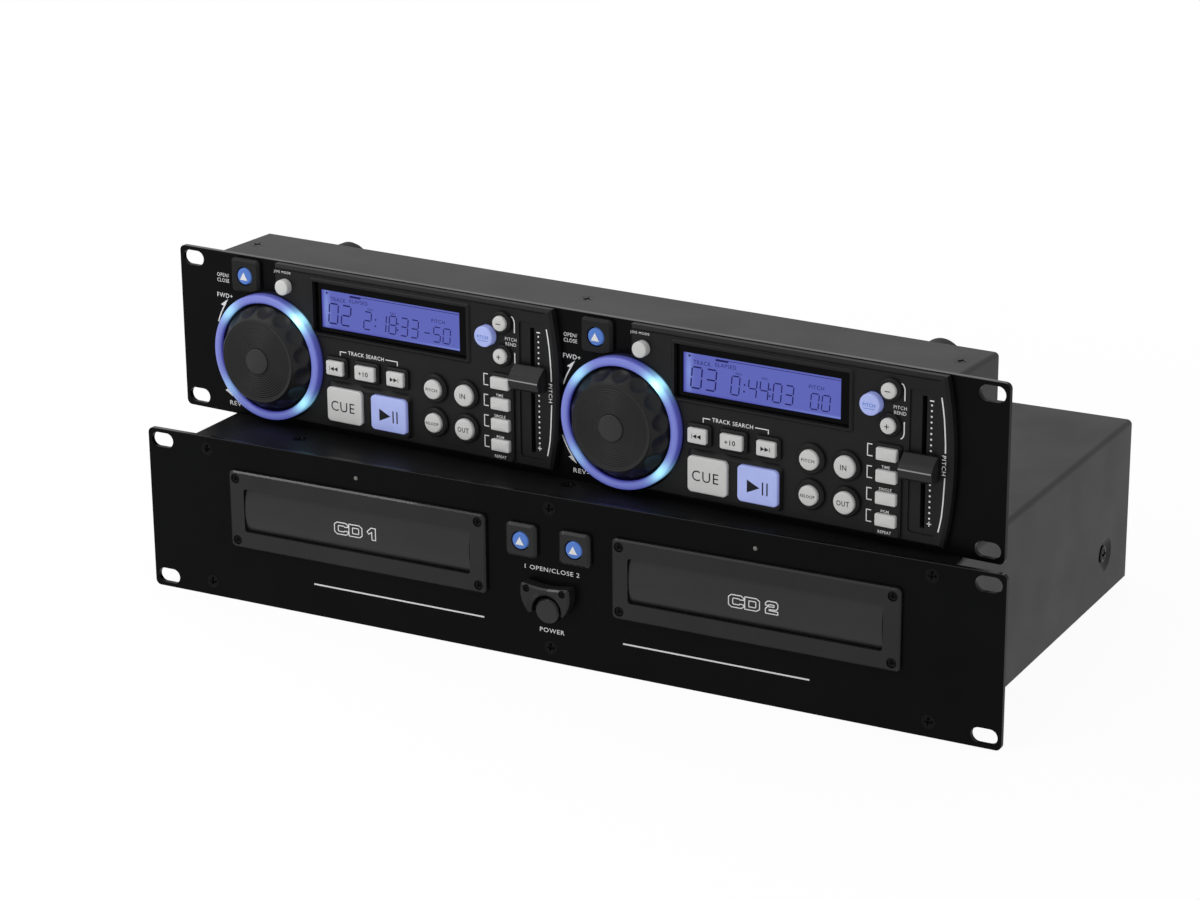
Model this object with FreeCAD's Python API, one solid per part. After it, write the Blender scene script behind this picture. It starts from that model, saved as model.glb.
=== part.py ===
"""Rack-mount dual disc player with two tray drives, and the two-deck remote
controller that stands on its cover. Millimetres, +Z up, the front faces -Y.

Every piece of a unit is drawn in that unit's own frame: X to the right from the
middle of its front panel, Y backwards from the panel's front face, Z up from the
panel's lower edge. One placement then puts the unit where it stands.
"""
import FreeCAD, Part
import math
import os

V = FreeCAD.Vector

# ---------------------------------------------------------------- driving sizes
# front panels, alike on both units (19 inch, two height units)
PANEL_W = 482.6
PANEL_H = 88.4
PANEL_T = 2.5
PANEL_CORNER_R = 3.0
RACK_PITCH_X = 465.1
RACK_PITCH_Z = 76.2
RACK_SLOT_L = 13.5
RACK_SLOT_H = 8.0

SHEET_T = 1.2            # folded steel of the housings
SHEET_FIT = 0.2          # gap between a cover and the pan that it closes
SOCKET_GAP = 0.4         # gap round a socket in the sheet
SOCKET_FIT = 0.2         # gap round a multi-pin socket's shell
RUN_GAP = 0.35           # gap round a button or tray in its opening

# player housing
BOX_W = 429.6
BOX_D = 245.0            # from the panel's front face to the rear wall
BEND_R = 2.6
COVER_DROP = 0.2         # the cover's top lies this far under the panel's top
COVER_HEM = 0.6          # the cover's side edges stop this far above the underside
PAN_FLANGE_H = 36.0
FRONT_LIP_D = 26.0
COVER_SCREW_Y = 19.9
COVER_SCREW_PITCH = 159.4
SIDE_SCREW_INSET = 34.0  # from the rear wall
SIDE_SCREW_Z = 24.0
DIMPLE_R = 9.5
DIMPLE_FLOOR_R = 5.6
DIMPLE_DEPTH = 1.7
PANEL_SCREW_X = 204.3
PANEL_SCREW_LOW = 7.8    # lower screws to the panel's lower edge
PANEL_SCREW_TOP = 6.7    # upper screws to the panel's upper edge
PANEL_SCREW_HEAD_R = 4.0
PANEL_SCREW_SHANK_R = 1.6
PANEL_SCREW_SINK = 1.6

# disc drives
DRIVE_X = 112.8
DRIVE_Z = 52.0           # middle height of the tray opening
BEZEL_W = 153.8
BEZEL_H = 42.0
BEZEL_R = 2.5
BEZEL_RISE = 2.4
BEZEL_BEVEL = 0.8
BEZEL_SCREW_X = 72.8
BEZEL_SCREW_Z = 16.9
BEZEL_SCREW_R = 2.6
BEZEL_SCREW_SINK = 1.3
TRAY_OPEN_W = 136.0
TRAY_OPEN_H = 23.7
TRAY_OPEN_R = 1.5
DOOR_GAP = 0.5
DOOR_T = 4.4
DOOR_BULGE = 1.7
DOOR_SEAT = 0.4          # the tray plate enters the door's back by this much
DOOR_SHY = 0.3           # the middle of the door stays this far inside the bezel's face
TRAY_W = 128.0
TRAY_H = 7.6
TRAY_FLOOR_T = 2.4
TRAY_NOSE = 7.0          # tray in front of the disc well
TRAY_TAIL = 9.0
WELL_R = 60.6
SMALL_WELL_R = 40.8
SMALL_WELL_DEPTH = 0.9
LENS_SLOT_W = 32.0
LENS_SLOT_REACH = 50.0
TRAY_TRAVEL = 132.0
RAIL_W = 3.6
RAIL_H = 3.6
RAIL_TAIL = 58.0
RAIL_ROOT = 4.0          # how far a rail is let into the tray plate
RAIL_START = 4.0         # from the inner front wall
FRAME_TAIL = 4.0         # frame behind the rails
SLIDE_GAP = 0.3
FRAME_WALL_T = 2.4
FRAME_FLOOR_T = 2.0
FRAME_FLOOR_DROP = 9.5   # from the tray's underside to the frame's floor
LEDGE_T = 1.8
LEDGE_GROOVE = 1.2       # the guide ledges reach this much past the rails
LEDGE_CLEAR = 0.9        # tray edge to the ledges
BRIDGE_D = 34.0
BRIDGE_T = 2.6
BRIDGE_LIFT = 5.0
CLAMPER_R = 15.0
CLAMPER_H = 2.6
LEG_R = 4.0
LEG_INSET = 14.0         # from the front wall and the frame's rear end
MOTOR_R = 11.5
MOTOR_H = 12.0
SPINDLE_R = 1.5
SPINDLE_GAP = 0.06
SPINDLE_END = 1.0        # shaft end to the bottom of the motor
TURNTABLE_R = 14.0
TURNTABLE_H = 2.4
CENTRE_CONE_R = 7.3
CENTRE_CONE_H = 1.9
CENTRE_CONE_TOP_R = 4.4
TRAVERSE_GAP = 0.9       # turntable to tray underside while the tray may move
SLED_W = 30.0
SLED_START = 28.0        # from the disc's axis
SLED_D = 24.0
SLED_H = 4.2
LENS_R = 3.2
LENS_H = 1.4
LENS_INSET = 1.5         # lens rim to the sled's front
GUIDE_ROD_R = 1.5
GUIDE_ROD_L = 66.0
GUIDE_ROD_START = 16.0   # from the disc's axis
GUIDE_ROD_INSET = 3.0    # from the sled's sides

# player controls
EJECT_X = 15.1
EJECT_Z = 63.3
EJECT_FRAME = 17.5
EJECT_FRAME_R = 2.4
EJECT_FRAME_RISE = 3.0
EJECT_FRAME_BEVEL = 1.3
EJECT_BUTTON_R = 4.75
EJECT_BUTTON_PROUD = 0.7
POWER_Z = 28.7
POWER_R = 6.65
POWER_PROUD = 4.2
POWER_TRAVEL = 2.6
GUARD_W = 26.8
GUARD_TOP_Z = 43.0
GUARD_LOW_Z = 27.2
GUARD_TIP_X = 9.5
GUARD_DIP = 1.6
GUARD_RISE = 6.5
GUARD_ARCH_BEVEL = 2.2
GUARD_EDGE = 0.9
GUARD_HORN_R = 1.8
GUARD_FLANK_BOW = 1.03   # flank width against the half width
GUARD_SCREW_SINK = 1.9
GUARD_ARCH_GAP = 1.7     # between the power button and the guard's arch
GUARD_SCREW_X = 10.1
GUARD_SCREW_Z = 40.1
GUARD_SCREW_R = 1.9
LAMP_R = 1.25
LAMP_Z = 79.8
PUSH_TRAVEL = 0.8        # every small push button
SWITCH_SIZE = 6.2
SWITCH_H = 3.5
SWITCH_FLOOR = 0.4       # bottom of a switch under its well
PLUNGER = 3.0
PLUNGER_GAP = 0.2
PLUNGER_ENTRY = 1.0      # depth of the plunger in its switch at rest
CAP_BEVEL = 0.55
FRONT_BOARD_GAP = 9.0    # panel to front board

# player electronics and rear sockets
BOARD_T = 1.6
BOARD_LIFT = 8.0
STANDOFF_R = 2.6
MAIN_BOARD_W = 256.0
MAIN_BOARD_D = 29.0
POWER_BOARD_W = 62.0
POWER_BOARD_D = 168.0
POWER_BOARD_Y = 36.0
STANDOFF_EDGE = 4.0      # standoff axis to the board's edge
BOARD_REAR_GAP = 0.5
KEY_BOARD_EDGE = 2.0
LATCH_FRONT = 3.0        # power switch in front of its board
LATCH_D = 22.0           # and behind the board's face
LATCH_WELL = 2.0         # well beyond the pressed plunger
CORE_W = 50.0            # transformer
CORE_D = 48.0
CORE_H = 36.0
CORE_END = 10.0          # to the board's rear edge
COIL_W = 56.0
COIL_STEP = 8.0
COIL_LIFT = 5.0
CAN_X = (-14.0, 12.0)    # smoothing capacitors
CAN_Y = 30.0
CAN_R = 8.0
CAN_H = 26.0
SINK_W = 46.0            # heat sink
SINK_Y = 62.0
SINK_FINS = 4
SINK_PITCH = 8.0
SINK_T = 2.0
SINK_H = 24.0
CHIP_COUNT = 3           # on the main board
CHIP_START = 34.0
CHIP_PITCH = 62.0
CHIP_L = 16.0
CHIP_W = 10.0
CHIP_H = 2.2
CHIP_EDGE = 3.0
JACK_R = 4.15
JACK_L = 9.0
JACK_PIN_R = 1.6
JACK_BORE_IN = 2.0       # pin hole past the wall's outer face
JACK_COLLAR_R = 5.6
JACK_COLLAR_T = 1.4
JACK_BODY = 11.0
JACK_Z = 20.0
JACK_PITCH = 14.0
JACK_PAIR_X = (-176.0, -118.0, -60.0)
DIN_R = 4.7
DIN_SHELL_R = 6.6
DIN_RISE = 1.6
DIN_DEPTH = 9.0
DIN_BACK = 2.0           # behind the well
DIN_X = (-12.0, 18.0)
INLET_X = 176.0
INLET_Z = 28.0
INLET_W = 30.6
INLET_H = 22.6
INLET_CAVITY_W = 24.4
INLET_CAVITY_H = 16.6
INLET_DEPTH = 15.0
INLET_RISE = 2.0
INLET_LIP = 1.5          # flange beyond the hole in the rear wall
INLET_FIT = 0.3
INLET_CORNER_R = 1.5
INLET_WALL = 3.0         # behind the cavity
INLET_PIN_W = 2.0
INLET_PIN_H = 4.0
INLET_PIN_L = 10.0
INLET_EARTH_LIFT = 2.0   # middle pin above, outer pins below the middle
INLET_PIN_PITCH = 7.0

# controller housing and where it stands
CTL_X = -5.4
CTL_SETBACK = 27.4
CTL_YAW = -3.75           # degrees, right end nearer the front
CASE_W = 431.2
CASE_D = 41.8
CASE_BEND_R = 2.2
CASE_SCREW_X = 206.0
CASE_SCREW_Y = 21.0
TAB_W = 13.0             # screw tabs behind the panel's top
TAB_ROOT = 0.5
TAB_REACH = 7.0          # past the screw
FOOT_R = 11.0
FOOT_TIP_R = 9.6
FOOT_L = 24.0
FOOT_X = 176.0
FOOT_EDGE = 15.4         # foot centre to the top or bottom of the case
FOOT_SCREW_R = 3.4
FOOT_SCREW_DEPTH = 12.0
BOARD_GAP = 11.5         # panel to controller board
CTL_BOARD_W = 418.0
CTL_BOARD_MARGIN = 6.0
CTL_DIN_X = (-22.0, 22.0)
CTL_DIN_Z = 44.0

# decks
DECK_COUNT = 2
JOG_X = -180.1
DECK_PITCH = 216.7
DECK_GAP = 3.7           # a fascia's bow to the next deck's light ring
RING_ROOM = 20.8         # panel height left over above and below the ring
RING_LOW_GAP = 3.5       # ring to the panel's lower edge
RING_W = 4.5
RING_RISE = 9.6
RING_CROWN = 1.4
WHEEL_GAP = 0.5          # between the wheel and its ring
WHEEL_FOOT = 1.2         # gap behind the wheel
WHEEL_SIDE_H = 7.0       # height at which the wheel starts to slope in
WHEEL_RIM_RUN = 6.3      # rim slope, measured along the radius
WHEEL_EDGE = 0.8
WHEEL_CAP_H = 15.7
WHEEL_DOME = 0.7
WHEEL_LIP = 0.3          # cap edge over the rim slope
WHEEL_DISC_R = 7.0
WHEEL_DISC_RISE = 0.7
SCALLOP_COUNT = 15
SCALLOP_R = 7.2
SCALLOP_BITE = 1.9
WHEEL_HUB_R = 8.0
WHEEL_SHAFT_R = 3.0
WHEEL_SHAFT_L = 12.0
SHAFT_GAP = 0.08         # round the shaft in its encoder
SHAFT_END = 0.6          # behind the shaft's end
ENCODER_SIZE = 12.5
ENCODER_H = 6.0
FASCIA_RISE = 5.0
FASCIA_LEFT = 4.4        # from the jog axis
FASCIA_BOW = 4.6         # how far the right edge bulges
FASCIA_TOP_DROP = 0.4
FASCIA_LOW_Z = 4.0
FASCIA_JOG_GAP = 1.2
FASCIA_EDGE = 1.4
FASCIA_GROOVE_DROP = 1.9
FASCIA_GROOVE = 0.5
GROOVE_END = 3.0         # groove's end to the fascia's right edge
PLATE_CORNER_R = 2.0
COLLAR_W = 1.9
COLLAR_RISE = 2.2
COLLAR_BEVEL = 0.8
COLLAR_CORNER_R = 1.6
PITCH_COLLAR_W = 2.6
LOOP_COLLAR_W = 2.0
SEARCH_COLLAR_W = 1.7
SURROUND_SIDE = 1.5      # beside the two large buttons
SURROUND_END = 2.6       # above and below them
SURROUND_SLOPE = 2.2     # height of its sloping upper edge
SURROUND_CORNER_R = 2.4
KEY_PLATE_RISE = 2.0     # raised plate under the function buttons
KEY_PLATE_SIDE = 1.5
KEY_PLATE_TOP = 1.6
KEY_PLATE_LOW = 1.2      # its lower end above the fascia's lower edge
WINDOW_U = 77.6
WINDOW_DROP = 19.5       # its middle under the panel's upper edge
WINDOW_W = 95.5
WINDOW_H = 27.4
WINDOW_FRAME = 1.9
WINDOW_FRAME_RISE = 1.0
WINDOW_FRAME_R = 1.0
LCD_SHIFT_U = -1.2       # liquid crystal against the window's middle
LCD_SHIFT_Z = -0.9
GLASS_FIT = 0.1          # display glass in its frame
LCD_OPENING = 1.0        # panel cut-out beyond the display all round
LCD_W = 86.3
LCD_H = 20.4
LCD_SUNK = 1.6
LCD_MASK_T = 0.6
BUTTON_RISE = 4.2        # button face in front of the fascia
BUTTON_REAR = 0.6        # button skirt behind the panel
DECK_EJECT_U = -16.6
DECK_EJECT_DROP = 10.6    # under the panel's upper edge
DECK_EJECT_W = 18.2
DECK_EJECT_H = 18.2
FADER_U = 163.8
FADER_LIFT = 0.6         # fader's middle above the panel's middle
FADER_ROOM = 17.4        # panel height above and below the sunk plate
FADER_END = 3.0          # plate beyond the slot's ends
FADER_SLOT_W = 2.5
FADER_PLATE_W = 14.6
FADER_PLATE_SUNK = 0.8
FADER_STOP = 4.5         # slot's end to the stem's middle at the end of travel
FADER_REST = (7.2, -1.6)  # each deck's knob above or below the middle
FADER_STEM_W = 1.3
FADER_STEM_H = 5.0
FADER_STEM_IN = 4.0
FADER_POT_W = 9.0
FADER_POT_D = 7.0
FADER_POT_WALL = 1.2
KNOB_W = 17.4
KNOB_H = 12.4
KNOB_GAP = 0.7
KNOB_DEPTH = 8.0
KNOB_FOOT = 1.8
KNOB_SHOULDER = 1.6      # upper slope's end behind the ridge
KNOB_SHOULDER_Z = 2.2
KNOB_NOSE = 1.0
KNOB_NOSE_Z = 1.6
KNOB_RIDGE = -0.4        # ridge line from the knob's middle height

# round buttons of a deck: distance right of the jog axis, height, diameter
# the upper ones are placed from the panel's upper edge
ROUND_BUTTONS = {
    "jog_mode": (11.5, PANEL_H - 11.5, 8.2),
    "pitch_bend": (137.2, PANEL_H - 18.7, 10.8),
    "bend_minus": (146.7, PANEL_H - 10.6, 7.8),
    "bend_plus": (146.7, PANEL_H - 27.7, 7.8),
    "pitch": (105.3, 36.8, 10.2),
    "reloop": (105.3, 18.9, 10.2),
    "loop_in": (124.4, 36.6, 11.2),
    "loop_out": (124.4, 18.7, 11.2),
}
COLLARS = {
    "bend_minus": COLLAR_W,
    "bend_plus": COLLAR_W,
    "pitch": PITCH_COLLAR_W,
    "reloop": PITCH_COLLAR_W,
    "loop_in": LOOP_COLLAR_W,
    "loop_out": LOOP_COLLAR_W,
}

# rectangular buttons of a deck: distance right of the jog axis, height, width, tall
SMALL_ROW_Z = 38.4
LARGE_ROW_Z = 18.9
FUNCTION_U = 146.4
FUNCTION_LOW_Z = 13.8
FUNCTION_DROP = 41.9     # uppermost one under the panel's upper edge
FUNCTION_NAMES = ("time", "single", "program", "repeat")
BLOCK_BUTTONS = {
    "search_back": (44.1, SMALL_ROW_Z, 10.5, 7.7),
    "plus_ten": (63.1, SMALL_ROW_Z, 12.4, 7.7),
    "search_forward": (82.2, SMALL_ROW_Z, 10.5, 7.7),
    "cue": (50.0, LARGE_ROW_Z, 22.1, 18.4),
    "play_pause": (77.8, LARGE_ROW_Z, 22.1, 18.4),
}
FUNCTION_TOP_Z = PANEL_H - FUNCTION_DROP
FUNCTION_STEP = (FUNCTION_TOP_Z - FUNCTION_LOW_Z) / (len(FUNCTION_NAMES) - 1)
for k, function_name in enumerate(FUNCTION_NAMES):
    BLOCK_BUTTONS[function_name] = (FUNCTION_U, FUNCTION_TOP_Z - k * FUNCTION_STEP, 10.9, 6.2)
BLOCK_CORNER = 0.13      # corner radius against the height
BLOCK_CROWN = 0.7

# ---------------------------------------------------------------- derived sizes
COVER_TOP = PANEL_H - COVER_DROP
PAN_HALF = BOX_W / 2 - SHEET_T - SHEET_FIT
INNER_TOP = COVER_TOP - SHEET_T
WALL_Y = PANEL_T + SHEET_T                      # back of the player's inner front wall
DOOR_FRONT = -(BEZEL_RISE - DOOR_SHY)
TRAY_FRONT = DOOR_FRONT + DOOR_T - DOOR_SEAT
DISC_Y = TRAY_FRONT + TRAY_NOSE + WELL_R
TRAY_REAR = DISC_Y + WELL_R + TRAY_TAIL
TRAY_LOW = DRIVE_Z - TRAY_H / 2
TRAY_TOP = DRIVE_Z + TRAY_H / 2
RAIL_LOW = DRIVE_Z - RAIL_H / 2
RAIL_TOP = DRIVE_Z + RAIL_H / 2
RAIL_HALF = TRAY_W / 2 + RAIL_W
RAIL_REAR = TRAY_REAR + RAIL_TAIL
FRAME_IN = RAIL_HALF + LEDGE_GROOVE
FRAME_OUT = FRAME_IN + FRAME_WALL_T
FRAME_REAR = RAIL_REAR + FRAME_TAIL
FRAME_FLOOR_TOP = TRAY_LOW - FRAME_FLOOR_DROP
BRIDGE_LOW = TRAY_TOP + BRIDGE_LIFT
HUB_TOP = TRAY_LOW - TRAVERSE_GAP
GUARD_ARCH_R = POWER_R + GUARD_ARCH_GAP
CTL_Z = COVER_TOP
CASE_IN_Y = CASE_D - SHEET_T
CTL_BOARD_Y = PANEL_T + BOARD_GAP
BUTTON_FACE = -(FASCIA_RISE + BUTTON_RISE)
RING_OUT_R = (PANEL_H - RING_ROOM) / 2
RING_IN_R = RING_OUT_R - RING_W
JOG_Z = RING_OUT_R + RING_LOW_GAP
WHEEL_R = RING_IN_R - WHEEL_GAP
WHEEL_CAP_R = WHEEL_R - WHEEL_RIM_RUN
FASCIA_RIGHT = DECK_PITCH - RING_OUT_R - DECK_GAP - FASCIA_BOW
WINDOW_Z = PANEL_H - WINDOW_DROP
LCD_U = WINDOW_U + LCD_SHIFT_U
LCD_Z = WINDOW_Z + LCD_SHIFT_Z
DECK_EJECT_Z = PANEL_H - DECK_EJECT_DROP
FADER_Z = PANEL_H / 2 + FADER_LIFT
FADER_PLATE_L = PANEL_H - FADER_ROOM
FADER_SLOT_L = FADER_PLATE_L - 2 * FADER_END
FADER_TRAVEL = FADER_SLOT_L - 2 * FADER_STOP
Y_MIDDLE = (BOX_D + JACK_L - GUARD_RISE) / 2    # middle of the whole depth


# ---------------------------------------------------------------- shape helpers
def box(x0, x1, y0, y1, z0, z1):
    return Part.makeBox(x1 - x0, y1 - y0, z1 - z0, V(x0, y0, z0))


def rounded_wire(cx, cz, w, h, r, y):
    """Closed outline of a rounded rectangle in the plane at depth y."""
    r = min(r, 0.49 * w, 0.49 * h)
    x0, x1, z0, z1 = cx - w / 2, cx + w / 2, cz - h / 2, cz + h / 2
    s = r * (1 - math.sqrt(0.5))
    corners = [
        (V(x1 - r, y, z0), V(x1 - s, y, z0 + s), V(x1, y, z0 + r)),
        (V(x1, y, z1 - r), V(x1 - s, y, z1 - s), V(x1 - r, y, z1)),
        (V(x0 + r, y, z1), V(x0 + s, y, z1 - s), V(x0, y, z1 - r)),
        (V(x0, y, z0 + r), V(x0 + s, y, z0 + s), V(x0 + r, y, z0)),
    ]
    edges = []
    for k, (a, m, b) in enumerate(corners):
        edges.append(Part.Arc(a, m, b).toShape())
        edges.append(Part.LineSegment(b, corners[(k + 1) % 4][0]).toShape())
    return Part.Wire(edges)


def rounded_block(cx, cz, w, h, r, y0, y1):
    face = Part.Face(rounded_wire(cx, cz, w, h, r, y0))
    return face.extrude(V(0, y1 - y0, 0))


def bevelled_block(cx, cz, w, h, r, y_front, y_back, bevel, depth=None):
    """Rounded block whose front edge is bevelled all round."""
    depth = bevel if depth is None else depth
    wires = [
        rounded_wire(cx, cz, w - 2 * bevel, h - 2 * bevel, max(r - bevel / 2, 0.3), y_front),
        rounded_wire(cx, cz, w, h, r, y_front + depth),
    ]
    cap = Part.makeLoft(wires, True, True)
    return cap.fuse(rounded_block(cx, cz, w, h, r, y_front + depth, y_back)).removeSplitter()


def rod(cx, cz, r, y0, y1):
    return Part.makeCylinder(r, y1 - y0, V(cx, y0, cz), V(0, 1, 0))


def post(cx, cy, r, z0, z1):
    return Part.makeCylinder(r, z1 - z0, V(cx, cy, z0))


def turned(cx, cz, profile):
    """Solid of revolution about the front-to-back line through (cx, cz).

    profile lists (radius, y) pairs round the closed half section."""
    points = [V(cx + r, y, cz) for r, y in profile]
    wire = Part.makePolygon(points + [points[0]])
    return Part.Face(wire).revolve(V(cx, 0, cz), V(0, 1, 0), 360)


def slot_cutter(cx, cz, length, height, y0, y1):
    """Level slot with round ends, right through from y0 to y1."""
    r = height / 2
    half = length / 2 - r
    cutter = box(cx - half, cx + half, y0, y1, cz - r, cz + r)
    for side in (-1, 1):
        cutter = cutter.fuse(rod(cx + side * half, cz, r, y0, y1))
    return cutter


def fused(shapes):
    shapes = list(shapes)
    body = shapes[0]
    if len(shapes) > 1:
        body = body.fuse(shapes[1:])
    return body.removeSplitter()


def screw_sink(cx, cz, head_r, shank_r, depth, thickness):
    """Countersink and shank hole in a plate whose front face is at y = 0."""
    cone = Part.makeCone(head_r, shank_r, depth, V(cx, 0, cz), V(0, 1, 0))
    return cone.fuse(rod(cx, cz, shank_r, depth / 2, thickness + 1))


def top_sink(cx, cy, top):
    """Countersink in a level sheet whose upper face is at height top."""
    cone = Part.makeCone(PANEL_SCREW_SHANK_R, PANEL_SCREW_HEAD_R, SHEET_T * 0.8,
                         V(cx, cy, top - SHEET_T * 0.8))
    return cone.fuse(post(cx, cy, PANEL_SCREW_SHANK_R, top - 2 * SHEET_T, top))


def switch_body(cx, cz, y_board):
    """Push switch on the front of a board, with the well that its plunger enters."""
    half = SWITCH_SIZE / 2
    well = PLUNGER / 2 + PLUNGER_GAP
    body = box(cx - half, cx + half, y_board - SWITCH_H, y_board, cz - half, cz + half)
    return body.cut(box(cx - well, cx + well, y_board - SWITCH_H - 1, y_board - SWITCH_FLOOR,
                        cz - well, cz + well))


def plunger(cx, cz, y_from, y_board):
    half = PLUNGER / 2
    return box(cx - half, cx + half, y_from, y_board - SWITCH_H + PLUNGER_ENTRY, cz - half, cz + half)


def rack_panel():
    plate = rounded_block(0, PANEL_H / 2, PANEL_W, PANEL_H, PANEL_CORNER_R, 0, PANEL_T)
    for sx in (-1, 1):
        for sz in (-1, 1):
            plate = plate.cut(slot_cutter(sx * RACK_PITCH_X / 2, PANEL_H / 2 + sz * RACK_PITCH_Z / 2,
                                          RACK_SLOT_L, RACK_SLOT_H, -1, PANEL_T + 1))
    return plate


# ---------------------------------------------------------------- player
def drive_centres():
    return (-DRIVE_X, DRIVE_X)


def player_openings(y0, y1, spare):
    """Cutters for everything that passes through the player's front."""
    cutters = []
    for x in drive_centres():
        cutters.append(rounded_block(x, DRIVE_Z, TRAY_OPEN_W + spare, TRAY_OPEN_H + spare,
                                     TRAY_OPEN_R, y0, y1))
        cutters.append(rod(x, LAMP_Z, LAMP_R, y0, y1))
    for x in (-EJECT_X, EJECT_X):
        cutters.append(rod(x, EJECT_Z, EJECT_BUTTON_R + RUN_GAP, y0, y1))
    cutters.append(rod(0, POWER_Z, POWER_R + RUN_GAP, y0, y1))
    return cutters


def player_front_panel():
    plate = rack_panel().cut(player_openings(-1, PANEL_T + 1, 0))
    for x in (-PANEL_SCREW_X, 0, PANEL_SCREW_X):
        for z in (PANEL_SCREW_LOW, PANEL_H - PANEL_SCREW_TOP):
            plate = plate.cut(screw_sink(x, z, PANEL_SCREW_HEAD_R, PANEL_SCREW_SHANK_R,
                                         PANEL_SCREW_SINK, PANEL_T))
    return plate


def socket_holes(y0, y1):
    cutters = []
    for x in JACK_PAIR_X:
        for step in (0, JACK_PITCH):
            cutters.append(rod(x + step, JACK_Z, JACK_R + SOCKET_GAP, y0, y1))
    for x in DIN_X:
        cutters.append(rod(x, JACK_Z, DIN_SHELL_R + SOCKET_FIT, y0, y1))
    cutters.append(rounded_block(INLET_X, INLET_Z, INLET_W - 2 * INLET_LIP, INLET_H - 2 * INLET_LIP,
                                 INLET_CORNER_R, y0, y1))
    return cutters


def player_chassis():
    """Folded pan: floor, side flanges, front wall with a lip, rear wall."""
    floor = box(-PAN_HALF, PAN_HALF, PANEL_T, BOX_D, 0, SHEET_T)
    front = box(-PAN_HALF, PAN_HALF, PANEL_T, WALL_Y, 0, INNER_TOP)
    front = front.cut(player_openings(PANEL_T - 1, WALL_Y + 1, 2 * RUN_GAP))
    lip = box(-PAN_HALF, PAN_HALF, PANEL_T, FRONT_LIP_D, INNER_TOP - SHEET_T, INNER_TOP)
    rear = box(-PAN_HALF, PAN_HALF, BOX_D - SHEET_T, BOX_D, 0, INNER_TOP)
    rear = rear.cut(socket_holes(BOX_D - SHEET_T - 1, BOX_D + 1))
    flanges = []
    for side in (-1, 1):
        x0, x1 = sorted((side * PAN_HALF, side * (PAN_HALF - SHEET_T)))
        flange = box(x0, x1, PANEL_T, BOX_D, 0, PAN_FLANGE_H)
        seat = Part.makeCylinder(DIMPLE_R + 0.4, 4 * SHEET_T, V(x0 - SHEET_T, BOX_D - SIDE_SCREW_INSET,
                                                                 SIDE_SCREW_Z), V(1, 0, 0))
        flanges.append(flange.cut(seat))
    pan = fused([floor, front, lip, rear] + flanges)
    # the folds follow the cover's bends
    return pan.common(rounded_block(0, INNER_TOP / 2, 2 * PAN_HALF, INNER_TOP, BEND_R, PANEL_T, BOX_D))


def cover_section(w, z0, z1, r, y):
    """Face of a bent sheet in the shape of an upturned U."""
    x = w / 2
    t = SHEET_T
    ri = max(r - t, 0.3)
    s = math.sqrt(0.5)

    def corner(side, edge_x, edge_z, radius):
        cx, cz = edge_x - radius, edge_z - radius
        points = [V(side * edge_x, y, cz), V(side * (cx + radius * s), y, cz + radius * s),
                  V(side * cx, y, edge_z)]
        return points

    outer_l = corner(-1, x, z1, r)
    outer_r = corner(1, x, z1, r)[::-1]
    inner_r = corner(1, x - t, z1 - t, ri)
    inner_l = corner(-1, x - t, z1 - t, ri)[::-1]
    low = [V(x, y, z0), V(x - t, y, z0), V(-x + t, y, z0), V(-x, y, z0)]
    edges = [
        Part.LineSegment(low[3], outer_l[0]).toShape(), Part.Arc(*outer_l).toShape(),
        Part.LineSegment(outer_l[2], outer_r[0]).toShape(), Part.Arc(*outer_r).toShape(),
        Part.LineSegment(outer_r[2], low[0]).toShape(), Part.LineSegment(low[0], low[1]).toShape(),
        Part.LineSegment(low[1], inner_r[0]).toShape(), Part.Arc(*inner_r).toShape(),
        Part.LineSegment(inner_r[2], inner_l[0]).toShape(), Part.Arc(*inner_l).toShape(),
        Part.LineSegment(inner_l[2], low[2]).toShape(), Part.LineSegment(low[2], low[3]).toShape(),
    ]
    return Part.Face(Part.Wire(edges))


def player_cover():
    """Upturned U of steel sheet with a pressed screw dimple in each side."""
    cover = cover_section(BOX_W, COVER_HEM, COVER_TOP, BEND_R, PANEL_T).extrude(
        V(0, BOX_D - PANEL_T, 0))
    for k in (-1, 0, 1):
        cover = cover.cut(top_sink(k * COVER_SCREW_PITCH, COVER_SCREW_Y, COVER_TOP))
    y = BOX_D - SIDE_SCREW_INSET
    for side in (-1, 1):
        outer = side * BOX_W / 2
        way = V(-side, 0, 0)
        dish = Part.makeCone(DIMPLE_R, DIMPLE_FLOOR_R, DIMPLE_DEPTH, V(outer, y, SIDE_SCREW_Z), way)
        back = Part.makeCone(DIMPLE_R, DIMPLE_FLOOR_R, DIMPLE_DEPTH,
                             V(outer - side * SHEET_T, y, SIDE_SCREW_Z), way)
        hole = Part.makeCylinder(PANEL_SCREW_SHANK_R, DIMPLE_DEPTH + 3 * SHEET_T,
                                 V(outer + side, y, SIDE_SCREW_Z), way)
        cover = cover.fuse(back).cut(dish).cut(hole)
    return cover.removeSplitter()


def tray_bezel(x):
    ring = bevelled_block(x, DRIVE_Z, BEZEL_W, BEZEL_H, BEZEL_R, -BEZEL_RISE, 0, BEZEL_BEVEL)
    ring = ring.cut(rounded_block(x, DRIVE_Z, TRAY_OPEN_W, TRAY_OPEN_H, TRAY_OPEN_R, -BEZEL_RISE - 1, 1))
    for sx in (-1, 1):
        for sz in (-1, 1):
            ring = ring.cut(rod(x + sx * BEZEL_SCREW_X, DRIVE_Z + sz * BEZEL_SCREW_Z, BEZEL_SCREW_R,
                                -BEZEL_RISE - 1, -BEZEL_RISE + BEZEL_SCREW_SINK))
    return ring


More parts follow.
